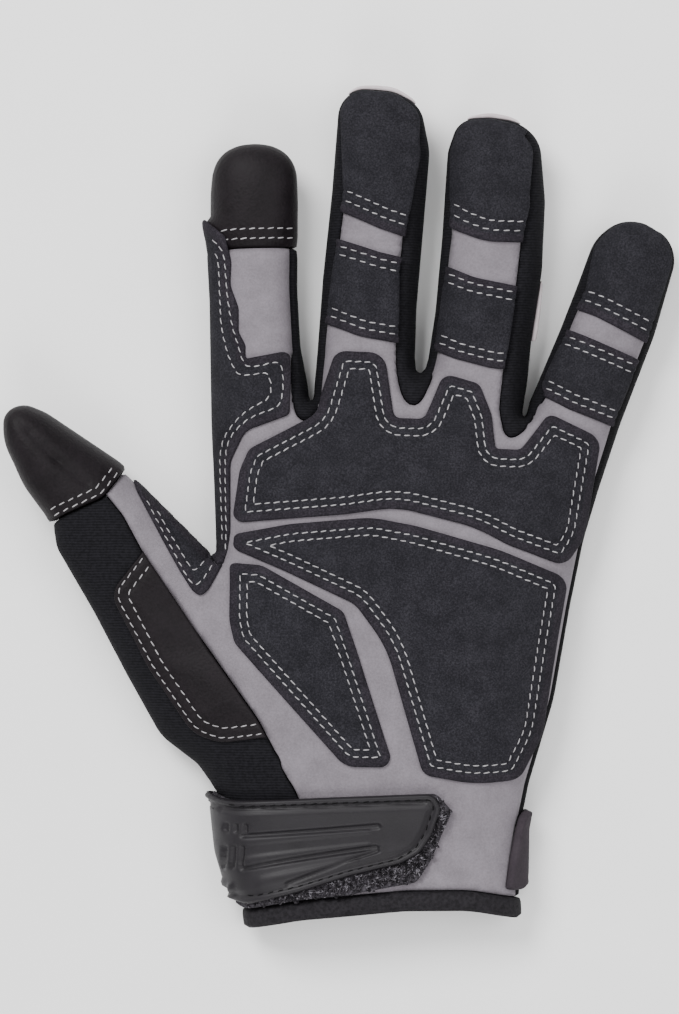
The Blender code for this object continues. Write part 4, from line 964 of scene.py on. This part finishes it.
class Plan:
    """The edge, seams and outlines of the glove in plan."""

    def __init__(self):
        owners = [BACK, LITTLE, RING, MIDDLE, PALM, THUMB]
        rows = [(*row[:4], owners.index(row[4])) for row in SIDE_EDGE]
        side = rounded(rows, STEP, closed=False)
        cuff_rows = [(*SIDE_EDGE[-1][:2], 0.0), *CUFF_EDGE, (*SIDE_EDGE[0][:2], 0.0)]
        self.cuff = rounded(cuff_rows, STEP, closed=False)[:, :2]
        self.side = side[:, :2]
        self.owner = [owners[round(value)] for value in side[:, 3]]
        self.changes = [k for k in range(1, len(side)) if self.owner[k] != self.owner[k - 1]]
        self.front_seam = inset(side, side[:, 2] * HAND_WIDTH)
        for rows in CROTCH_SEAMS:
            self.front_seam = bent(self.front_seam, rows)
        self.back_seam = inset(side, np.full(len(side), BACK_STRIP))
        self.edge_rows = [inset(side, np.full(len(side), width)) for width in EDGE_ROWS]
        self.ring = np.vstack([self.side, self.cuff[1:-1]])
        tail = np.array([0, -OPEN_TAIL])
        self.open_ring = np.vstack([self.side, self.side[-1] + tail, self.side[0] + tail])
        self.rings = {name: rounded(table, STEP) for name, table in OUTLINES.items()}
        for name, upper, lower in FINGER_PATCHES + BACK_GUARDS:
            corners = np.vstack([curve(FINGER_LINES[upper]), curve(FINGER_LINES[lower])[::-1]])
            self.rings[name] = subdivided(closed_path(corners), STEP)[:-1]
        hem = self.cuff + np.array([0, BINDING_HEIGHT])
        hem = np.vstack([hem[0] - (OVERRUN, 0), hem[1:-1], hem[-1] + (OVERRUN, 0)])
        self.rings["cuff_binding"] = np.vstack([hem, hem[::-1] - (0, BINDING_HEIGHT + OVERRUN)])
        self.cut_lines = [self.upright(STRAP_END, -0.04, 0.34), self.upright(TAB_END, 0.0, 0.30)]

    def upright(self, across, low, high):
        return subdivided(np.array([place(across, low), place(across, high)]), STEP)

    def strips(self, seam):
        """The closed ring of each stretch of the side strip, by the piece that it belongs to."""
        found = []
        for start, end in zip([0, *self.changes], [*self.changes, len(self.side) - 1]):
            inner = seam[start + 1:end + 2]
            if start == 0:
                inner = np.vstack([seam[:1], inner])
            if end == len(self.side) - 1:
                inner = np.vstack([inner, seam[-1:]])
            found.append((self.owner[start], np.vstack([self.side[start:end + 1], inner[::-1]])))
        return found

    def ties(self, seam):
        """Short paths across the side strip where it passes from one piece to the next."""
        return [np.array([self.side[k], seam[k + 1]]) for k in self.changes]

    def within(self, *rings):
        """A test for plan positions that lie in the glove's edge and in every one of the rings."""
        return lambda xy: np.logical_and.reduce([inside(xy, ring) for ring in (*rings, self.ring)])

    def surface(self, xy, height):
        """Points over plan positions, by a height that follows the depth, and which are on the edge."""
        depth = smooth_distance(xy, self.open_ring)
        on_edge = distance(xy, [self.side]) < SAME_PLACE
        depth[on_edge] = 0
        return np.column_stack([xy, height(xy, depth)]), on_edge

    def sheet(self, keep, paths, spacing, keep_back=None, back_paths=(), back_spacing=None, zones=()):
        """The kept surface of the palm side, carried on round the edge where the back is kept."""
        edge = closed_path(self.ring)
        xy, faces = triangulated([edge, *self.edge_rows, *paths], spacing, keep, zones)
        points, on_edge = self.surface(xy, front_height)
        on_front = np.ones(len(faces), dtype=bool)
        if keep_back is None:
            return Sheet(points, faces, xy, on_front)
        back_xy, back_faces = triangulated(
            [edge, *self.edge_rows, *back_paths], back_spacing or spacing, keep_back
        )
        back, back_on_edge = self.surface(back_xy, back_height)
        tree = kd_tree([(*spot, 0) for spot in xy[on_edge]], np.flatnonzero(on_edge))
        number = np.arange(len(back)) + len(points)
        for k in np.flatnonzero(back_on_edge):
            _, found, gap = tree.find((*back_xy[k], 0))
            if found is not None and gap < SAME_PLACE:
                number[k] = found
        faces = np.vstack([faces, number[back_faces][:, ::-1]])
        on_front = np.concatenate([on_front, np.zeros(len(back_faces), dtype=bool)])
        return Sheet(np.vstack([points, back]), faces, np.vstack([xy, back_xy]), on_front)


def profile(edge, radius):
    """Share of the full height at a distance from a rounded cut edge."""
    t = np.clip(edge / radius, 0, 1)
    return CUT_FACE + (1 - CUT_FACE) * np.sqrt(1 - (1 - t) ** 2)


def node(tree, kind, values=None, **settings):
    """A shader node with its settings, and its inputs set or linked."""
    made = tree.nodes.new(kind)
    for key, value in settings.items():
        setattr(made, key, value)
    for key, value in (values or {}).items():
        if isinstance(value, bpy.types.NodeSocket):
            tree.links.new(value, made.inputs[key])
        else:
            made.inputs[key].default_value = value
    return made


def summed(tree, place_at, grains):
    """The weighted sum of several noises, and of ribs, as one value."""
    total = None
    for kind, size, detail, weight in grains:
        if kind == "ribs":
            made = node(
                tree, "ShaderNodeTexWave",
                {"Vector": place_at, "Scale": 2 * math.pi / (20 * size), "Distortion": detail, **RIB_DETAIL},
                wave_type="BANDS", bands_direction="Y",
            ).outputs["Fac"]
        elif kind == "cells":
            made = node(
                tree, "ShaderNodeTexVoronoi", {"Vector": place_at, "Scale": 1 / size, "Randomness": detail}
            ).outputs["Distance"]
        else:
            made = node(
                tree, "ShaderNodeTexNoise",
                {"Vector": place_at, "Scale": 1 / size, "Detail": detail, "Roughness": NOISE_ROUGHNESS},
            ).outputs["Fac"]
        share = node(tree, "ShaderNodeMath", {0: made, 1: weight}, operation="MULTIPLY").outputs[0]
        if total is not None:
            share = node(tree, "ShaderNodeMath", {0: total, 1: share}, operation="ADD").outputs[0]
        total = share
    return total


def look(name, colours, grains, bumps, roughness, depth, border=None, sheen=0.0, rough_grain=0.0,
         specular=0.12):
    """A material: colours along the sum of its grains, a bump, and a tinted border along a cut edge."""
    made = bpy.data.materials.new(name)
    made.use_nodes = True
    tree = made.node_tree
    surface = tree.nodes["Principled BSDF"]
    place_at = node(tree, "ShaderNodeTexCoord").outputs["Object"]
    shade = summed(tree, place_at, grains)
    ramp = node(tree, "ShaderNodeValToRGB", {"Fac": shade})
    elements = ramp.color_ramp.elements
    while len(elements) < len(colours):
        elements.new(0.5)
    for element, (at, colour) in zip(elements, colours):
        element.position, element.color = at, (*colour, 1)
    colour = ramp.outputs["Color"]
    if border:
        tint, reach = border
        edge = node(tree, "ShaderNodeAttribute", attribute_name="edge").outputs["Fac"]
        share = node(
            tree, "ShaderNodeMapRange",
            {
                "Value": edge, "From Min": reach * BORDER_FADE[0], "From Max": reach * BORDER_FADE[1],
                "To Min": 1.0, "To Max": 0.0,
            },
        ).outputs["Result"]
        mixed = node(tree, "ShaderNodeMix", data_type="RGBA", blend_type="MULTIPLY")
        tree.links.new(share, mixed.inputs["Factor"])
        tree.links.new(colour, mixed.inputs[6])
        mixed.inputs[7].default_value = (*tint, 1)
        colour = mixed.outputs[2]
    tree.links.new(colour, surface.inputs["Base Color"])
    height = summed(tree, place_at, bumps)
    bump = node(tree, "ShaderNodeBump", {"Height": height, "Distance": depth, "Strength": BUMP_STRENGTH})
    tree.links.new(bump.outputs["Normal"], surface.inputs["Normal"])
    surface.inputs["Roughness"].default_value = roughness
    if rough_grain:
        spread = node(
            tree, "ShaderNodeMapRange",
            {
                "Value": shade, "From Min": GRAIN_SPAN[0], "From Max": GRAIN_SPAN[1],
                "To Min": roughness - rough_grain, "To Max": roughness + rough_grain,
            },
        )
        tree.links.new(spread.outputs["Result"], surface.inputs["Roughness"])
    surface.inputs["Sheen Weight"].default_value = sheen
    surface.inputs["Specular IOR Level"].default_value = specular
    return made


def mesh_object(name, vertices, faces, material, attributes=None, nodes=()):
    """A smooth mesh that rides on the glove and stands for its nodes."""
    mesh = bpy.data.meshes.new(name)
    mesh.from_pydata(vertices.tolist(), [], faces)
    mesh.polygons.foreach_set("use_smooth", [True] * len(faces))
    for key, values in (attributes or {}).items():
        mesh.attributes.new(key, "FLOAT", "POINT").data.foreach_set("value", values.astype(np.float32))
    mesh.materials.append(material)
    made = bpy.data.objects.new(name, mesh)
    bpy.context.scene.collection.objects.link(made)
    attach(made, "root")
    if nodes:
        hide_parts(*nodes)
    return made


def closed_piece(sheet, inner, outer, relief=0.0, radius=CLOTH_ROUND, sink=0.0, gap=SEAM_GAP):
    """Vertices, faces and edge distances of the sheet thickened, its rim drawn in and rounded."""
    edge = sheet.rim_distance()
    rim, owner = rim_of(sheet.faces)
    count = len(sheet.points)
    a, b, c = (sheet.points[sheet.faces[:, k]] for k in range(3))
    run = sheet.points[rim[:, 1]] - sheet.points[rim[:, 0]]
    into = np.cross(unit(np.cross(b - a, c - a))[owner], unit(run))
    pull = np.zeros_like(sheet.points)
    for k in range(2):
        np.add.at(pull, rim[:, k], into)
    base = sheet.points + unit(pull) * gap / 2
    height = inner + (outer - inner) * profile(edge, radius) + relief
    height = height - sink * np.exp(-((edge / (SINK_REACH * radius)) ** 2))
    vertices = np.vstack([base + sheet.normals * height[:, None], base + sheet.normals * inner])
    faces = sheet.faces.tolist() + (sheet.faces[:, ::-1] + count).tolist()
    faces += [(b, a, a + count, b + count) for a, b in rim.tolist()]
    return vertices, faces, np.tile(edge, 2)


def tree_of(vertices, faces):
    return BVHTree.FromPolygons(vertices.tolist(), faces)


def dropped(tree, xy):
    """The points of the surface below plan positions, and its normals there."""
    points, normals = [], []
    for x, y in xy:
        point, normal, _, _ = tree.ray_cast(Vector((x, y, RAY_START)), Vector((0, 0, -1)))
        if point is None:
            return None
        points.append(point)
        normals.append(normal if normal.z > 0 else -normal)
    return np.array(points), np.array(normals)


class Thread:
    """Short stitches along rows, each with its ends sunk into the surface."""

    def __init__(self, seed):
        self.vertices, self.faces, self.count = [], [], 0
        self.random = np.random.default_rng(seed)

    def sew(self, tree, row, pitch=STITCH_PITCH, length=STITCH_LENGTH):
        row = resampled(row, FINE / 2)
        at = np.concatenate([[0], np.cumsum(np.hypot(*np.diff(row, axis=0).T))])
        count = int(at[-1] / pitch)
        for k in range(count):
            middle = (k + 0.5) * at[-1] / count
            spots = middle + STATIONS[:, 0] * length * self.random.uniform(*STITCH_SPREAD)
            xy = np.stack([np.interp(spots, at, row[:, j]) for j in range(2)], axis=1)
            centre, turn = xy[2], STITCH_SLANT * self.random.uniform(*SLANT_SPREAD)
            if xy[-1, 0] < xy[0, 0]:
                xy = xy[::-1]
            spin = np.array([[math.cos(turn), math.sin(turn)], [-math.sin(turn), math.cos(turn)]])
            self.stitch(tree, centre + (xy - centre) @ spin, THREAD_WIDTH, THREAD_HEIGHT)

    def stitch(self, tree, xy, width, height):
        found = dropped(tree, xy)
        if found is None:
            return
        points, normals = found
        normal = normals.mean(axis=0)
        normal /= np.linalg.norm(normal)
        along = points[-1] - points[0]
        along /= max(np.linalg.norm(along), 1e-9)
        side = np.cross(normal, along)
        angles = np.arange(THREAD_SIDES) * 2 * math.pi / THREAD_SIDES
        first = self.count
        self.count += len(STATIONS) * THREAD_SIDES
        for point, (_, size, lift) in zip(points, STATIONS):
            ring = point + normal * lift * height
            self.vertices.append(
                ring + np.outer(np.cos(angles), side) * width / 2 * size
                + np.outer(np.sin(angles), normal) * height / 2 * size
            )
        for row in range(len(STATIONS) - 1):
            for k in range(THREAD_SIDES):
                a, b = first + row * THREAD_SIDES + k, first + row * THREAD_SIDES + (k + 1) % THREAD_SIDES
                self.faces.append((a, a + THREAD_SIDES, b + THREAD_SIDES, b))
        last = first + (len(STATIONS) - 1) * THREAD_SIDES
        self.faces.append(tuple(range(first, first + THREAD_SIDES)))
        self.faces.append(tuple(range(last + THREAD_SIDES - 1, last - 1, -1)))

    def finished(self, name, material):
        if self.vertices:
            mesh_object(name, np.vstack(self.vertices) - ORIGIN, self.faces, material)


def clipped(ring, cutters, keep):
    """The outline of the part of a ring's inside that is kept."""
    paths = [closed_path(ring), *cutters]
    return outline_of(*triangulated(paths, 1.0, lambda spots: inside(spots, ring) & keep(spots)))


def grooves(xy, rows):
    """How far a piece is drawn down along its stitch rows."""
    if not rows:
        return np.zeros(len(xy))
    return -GROOVE_DEPTH * np.exp(-((distance(xy, rows) / GROOVE_WIDTH) ** 2))


def groove_lines(rows):
    """Lines beside each stitch row, so that the mesh follows its groove."""
    sides = (GROOVE_WIDTH, -GROOVE_WIDTH)
    return [line for row in rows for line in (row, *(line_row(row, side) for side in sides))]


def add_base(plan, looks):
    """The sewn panels: palm, back, finger sides, thumb, caps and cuff binding. Returns their surfaces."""
    rings = plan.rings
    round_both = [closed_path(rings[name]) for name in ("thumb_cap", "index_cap", "cuff_binding")]
    front_paths = [plan.front_seam, *plan.ties(plan.front_seam), closed_path(rings["thumb_panel"])]
    front_paths += round_both
    back_paths = [plan.back_seam, *plan.ties(plan.back_seam), *round_both]
    whole = plan.sheet(
        plan.within(), front_paths, FRONT_GRID, plan.within(), back_paths, BACK_GRID, FINE_ZONES
    )
    middle, front = whole.middles(), whole.on_front
    label = np.where(front, PALM, BACK).astype(object)
    label[front & inside(middle, rings["thumb_panel"])] = THUMB
    for name, ring in plan.strips(plan.front_seam):
        label[front & inside(middle, ring)] = name
    for name, ring in plan.strips(plan.back_seam):
        label[~front & inside(middle, ring)] = name
    for name in ("index_cap", "thumb_cap", "cuff_binding"):
        label[inside(middle, rings[name])] = name
    depths = {"cuff_binding": (-BINDING_DEPTH, BINDING_PROUD), "thumb_cap": (-CLOTH_WALL, CAP_PROUD)}
    trees = {}
    for name in sorted(set(label)):
        sheet = whole.part(label == name)
        inner, outer = depths.get(name, (-CLOTH_WALL, 0))
        radius = BINDING_ROUND if name == "cuff_binding" else CLOTH_ROUND
        sink = 0 if name in depths else SEAM_SINK
        vertices, faces, edge = closed_piece(sheet, inner, outer, radius=radius, sink=sink)
        kind = BASE_LOOKS.get(name, "black_knit")
        mesh_object(f"{name}_cloth", vertices - ORIGIN, faces, looks[kind], {"edge": edge}, [name])
        trees[name] = tree_of(vertices, faces)
    return trees


def add_pad(plan, looks, name, ring, rows, keep_back=None, back_paths=(), **shape):
    """A piece laid over the panels: its rounded cut edge, its stitch rows and their grooves."""
    look_name = shape.get("look", "charcoal_grip")
    inner, outer = shape.get("inner", LAYER_GAP), shape.get("outer", LAYER_GAP + PAD_WALL)
    spacing = shape.get("spacing", PAD_GRID)
    rims = [ring_row(ring, gap) for gap in RIM_ROWS]
    paths = [closed_path(ring), *rims, *groove_lines(rows), *shape.get("lines", ())]
    within = plan.within(ring)
    behind = keep_back and (lambda xy: within(xy) & keep_back(xy))
    sheet = plan.sheet(within, paths, spacing, behind, [closed_path(ring), *back_paths], spacing * 1.5)
    relief = grooves(sheet.xy, rows)
    if "relief" in shape:
        relief = relief + shape["relief"](sheet)
    vertices, faces, _ = closed_piece(sheet, inner, outer, relief, PAD_ROUND, gap=0)
    edge = np.tile(distance(sheet.xy, [closed_path(plan.rings[name])]), 2)
    made = mesh_object(
        f"{name}_piece", vertices - ORIGIN, faces, looks[look_name], {"edge": edge}, [name]
    )
    return made, tree_of(vertices, faces), sheet


def add_stitches(name, tree, rows, looks, seed):
    thread = Thread(seed)
    for row in rows:
        thread.sew(tree, row)
    thread.finished(f"{name}_thread", looks["thread"])


def shown_rows(plan, rows, keep=None, margin=ROW_CLEAR):
    """The stretches of stitch rows that lie on the palm side, clear of the side edge."""
    found = []
    for row in rows:
        wanted = inside(row, plan.ring) & (distance(row, [plan.side]) > margin)
        if keep is not None:
            wanted &= keep(row)
        found += runs(row, wanted)
    return found


def add_pads(plan, looks):
    """The charcoal pads and patches of the palm side."""
    seam_zone = plan.front_seam
    patch_zone = seam_zone + inward(seam_zone) * PATCH_INSET
    for seed, name in enumerate(("knuckle_pad", "heel_pad", "thumb_base_pad")):
        ring = plan.rings[name]
        rows = [ring_row(ring, ROW_INSET), ring_row(ring, ROW_INSET + ROW_SPACING)]
        made, tree, _ = add_pad(plan, looks, name, ring, rows, relief=pad_swell)
        add_stitches(name, tree, rows, looks, PAD_SEED + seed)
    for seed, name in enumerate(("index_side_patch", "crotch_patch")):
        ring = plan.rings[name]
        sewn = [resampled(curve(line), FINE) for line in SEWN_LINES[name]]
        rows = shown_rows(plan, sewn, margin=SIDE_CLEAR)
        _, tree, _ = add_pad(
            plan, looks, name, ring, rows, relief=pad_swell,
            keep_back=lambda xy: ~inside(xy, plan.back_seam), back_paths=[plan.back_seam],
        )
        add_stitches(name, tree, rows, looks, SIDE_SEED + seed)
    for seed, (name, *_) in enumerate(FINGER_PATCHES):
        ring = clipped(plan.rings[name], [patch_zone], lambda xy: inside(xy, patch_zone))
        rows = []
        for line_name, gaps in LINE_ROWS[name]:
            line = curve(FINGER_LINES[line_name])
            rows += [line_row(line, gap) for gap in gaps]
        rows = shown_rows(plan, rows, lambda xy: inside(xy, ring), margin=SIDE_CLEAR)
        _, tree, _ = add_pad(plan, looks, name, ring, rows, relief=pad_swell)
        add_stitches(name, tree, rows, looks, FINGER_SEED + seed)
    whole, zone = plan.rings["thumb_patch"], plan.rings["thumb_panel"]
    zone_path = closed_path(zone)
    ring = clipped(whole, [zone_path, seam_zone], lambda xy: inside(xy, zone) & inside(xy, seam_zone))
    rows = [ring_row(whole, gap) for gap in THUMB_PATCH_ROWS]
    rows = shown_rows(plan, rows, lambda xy: inside(xy, ring) & (distance(xy, [zone_path]) > SEAM_GAP))
    _, tree, _ = add_pad(plan, looks, "thumb_patch", ring, rows, look="smooth_cap")
    add_stitches("thumb_patch", tree, rows, looks, THUMB_SEED)


def pad_swell(sheet):
    """The pad's inside swells a little beyond its stitch rows."""
    edge = sheet.rim_distance()
    inner = ROW_INSET + ROW_SPACING
    return PAD_SWELL * (1 - np.exp(-np.clip(edge - inner, 0, None) / SWELL_REACH))


def add_strap(plan, looks):
    """The wrist strap: its fuzzy under layer, the moulded cover, and the tab on the other side."""
    hem = plan.rings["cuff_binding"]

    def at_left(xy):
        return xy[:, 0] < STRAP_END * HAND_WIDTH

    def at_right(xy):
        return xy[:, 0] > TAB_END * HAND_WIDTH

    pieces = [
        ("strap_loop", LOOP_BASE, LOOP_BASE + LOOP_WALL, at_left, "strap_pile", None),
        ("strap_cover", COVER_BASE, STRAP_TOP, at_left, "strap_rubber", cover_relief),
        ("cuff_tab", LOOP_BASE, TAB_TOP, at_right, "tab_webbing", None),
    ]
    for name, inner, outer, keep_back, kind, relief in pieces:
        ring = clipped(plan.rings[name], [closed_path(hem)], lambda xy: ~inside(xy, hem))
        extra = {"relief": relief} if relief else {}
        _, tree, _ = add_pad(
            plan, looks, name, ring, [], keep_back=keep_back, back_paths=plan.cut_lines,
            inner=inner, outer=outer, look=kind, spacing=STRAP_GRID if relief else PAD_GRID, **extra,
        )
        if name == "strap_cover":
            thread = Thread(COVER_SEED)
            for row in shown_rows(plan, [ring_row(ring, COVER_ROW)]):
                thread.sew(tree, row, COVER_PITCH, COVER_STITCH)
            thread.finished("strap_cover_thread", looks["dark_thread"])
        if name == "strap_loop":
            add_pile(plan, looks, tree, ring)


def cover_relief(sheet):
    """The moulded channels and ridges of the strap's cover."""
    edge = sheet.rim_distance()
    height = -CHANNEL_DEPTH * np.exp(-(((edge - COVER_ROW) / CHANNEL_WIDTH) ** 2))
    height += PANEL_RISE / (1 + np.exp(-(edge - PANEL_EDGE) / PANEL_SLOPE))
    for from_across, from_along, to_across, to_along, from_width, to_width, rise in COVER_LINES:
        start, end = np.array(place(from_across, from_along)), np.array(place(to_across, to_along))
        run = end - start
        t = np.clip(((sheet.xy - start) @ run) / (run @ run), 0, 1)
        off = np.hypot(*(sheet.xy - start - t[:, None] * run).T)
        width = from_width + (to_width - from_width) * t
        height += rise * np.exp(-((off / width) ** 4))
    for across, low, high, rise in COVER_BARS:
        x, _ = place(across, 0)
        _, low_y = place(0, low)
        _, high_y = place(0, high)
        off = np.abs(sheet.xy[:, 0] - x) / BAR_WIDTH
        over = np.clip(np.abs(sheet.xy[:, 1] - (low_y + high_y) / 2) - (high_y - low_y) / 2, 0, None)
        height += rise * np.exp(-(off**4)) * np.exp(-((over / BAR_WIDTH) ** 2)) * sheet_front(sheet)
    return height


def sheet_front(sheet):
    """One for points on the palm side, none for those on the back."""
    shown = np.zeros(len(sheet.points))
    shown[np.unique(sheet.faces[sheet.on_front])] = 1
    return shown


def add_pile(plan, looks, tree, ring):
    """Small curled fibres over the uncovered border of the strap's under layer."""
    random = np.random.default_rng(PILE_SEED)
    cover = closed_path(plan.rings["strap_cover"])
    low, high = ring.min(axis=0), ring.max(axis=0)
    spots = random.uniform(low, high, (PILE_TRIES, 2))
    spots = spots[inside(spots, ring) & inside(spots, plan.ring)]
    bare = ~inside(spots, cover[:-1]) | (distance(spots, [cover]) < PILE_OVERLAP)
    spots = spots[bare & (distance(spots, [plan.side]) > PILE_CLEAR)]
    thread = Thread(FIBRE_SEED)
    for spot in spots:
        turn = random.uniform(0, 2 * math.pi)
        step = np.array([math.cos(turn), math.sin(turn)]) * random.uniform(*PILE_LENGTHS)
        line = spot + STATIONS[:, :1] * step
        thread.stitch(tree, line, PILE_WIDTH, random.uniform(*PILE_HEIGHTS))
    thread.finished("strap_pile_fibres", looks["pile_fibre"])


def add_caps(plan, looks, trees):
    """Stitch rows across the lower edges of the thumb and index caps."""
    for seed, (name, corners, gaps) in enumerate(CAP_ROWS):
        line = rounded(OUTLINES[name][:corners], STEP, closed=False)[:, :2]
        shown = shown_rows(plan, [line_row(line, gap) for gap in gaps], margin=CAP_CLEAR)
        add_stitches(name, trees[name], shown, looks, CAP_SEED + seed)


def add_guards(plan, looks):
    """The pale rubber guards that show past the ends of two fingers and beside the ring finger."""
    for name, _, _ in BACK_GUARDS:
        ring = plan.rings[name]
        within = plan.within(ring)
        behind = within
        if name == "ring_side_guard":
            behind = lambda xy: within(xy) & ~inside(xy, plan.back_seam)
        paths = [closed_path(plan.ring), *plan.edge_rows, closed_path(ring), plan.back_seam]
        xy, faces = triangulated(paths, PAD_GRID, behind)
        points, _ = plan.surface(xy, back_height)
        sheet = Sheet(points, faces[:, ::-1], xy, np.zeros(len(faces), dtype=bool))
        middle, half = (xy[:, 0].min() + xy[:, 0].max()) / 2, np.ptp(xy[:, 0]) / 2
        crown = GUARD_CROWN * (1 - ((xy[:, 0] - middle) / half) ** 2)
        vertices, piece_faces, edge = closed_piece(
            sheet, LAYER_GAP, LAYER_GAP + GUARD_WALL, crown, PAD_ROUND, gap=0
        )
        mesh_object(
            f"{name}_piece", vertices - ORIGIN, piece_faces, looks["pale_rubber"], {"edge": edge}, [name],
        )


def add_stage():
    """A pale floor, soft studio lights and the camera straight above the palm."""
    mesh = bpy.data.meshes.new("floor")
    corners = [(-FLOOR, -FLOOR, 0), (FLOOR, -FLOOR, 0), (FLOOR, FLOOR, 0), (-FLOOR, FLOOR, 0)]
    mesh.from_pydata(corners, [], [(0, 1, 2, 3)])
    floor = bpy.data.objects.new("floor", mesh)
    bpy.context.scene.collection.objects.link(floor)
    mesh.materials.append(look("pale_floor", *FLOOR_LOOK))
    for name, spot, size, power in LIGHTS:
        lamp = bpy.data.lights.new(name, "AREA")
        lamp.shape, lamp.size, lamp.energy = "DISK", size, power
        made = bpy.data.objects.new(name, lamp)
        made.location = spot
        made.rotation_euler = (-Vector(spot)).to_track_quat("-Z", "Y").to_euler()
        bpy.context.scene.collection.objects.link(made)
    world = bpy.data.worlds.new("studio")
    world.use_nodes = True
    world.node_tree.nodes["Background"].inputs["Color"].default_value = (1, 1, 1, 1)
    world.node_tree.nodes["Background"].inputs["Strength"].default_value = WORLD_LIGHT
    bpy.context.scene.world = world
    data = bpy.data.cameras.new("camera")
    data.sensor_width = SENSOR
    data.lens = SENSOR * (CAMERA_HEIGHT - PALM_LEVEL) / VIEW_HEIGHT
    camera = bpy.data.objects.new("camera", data)
    camera.location = (*VIEW_CENTRE, CAMERA_HEIGHT)
    bpy.context.scene.collection.objects.link(camera)
    bpy.context.scene.camera = camera


PLAN = Plan()
LOOKS = {name: look(name, *row[:5], **row[5]) for name, row in MATERIALS.items()}
TREES = add_base(PLAN, LOOKS)
add_caps(PLAN, LOOKS, TREES)
add_pads(PLAN, LOOKS)
add_strap(PLAN, LOOKS)
add_guards(PLAN, LOOKS)
add_stage()
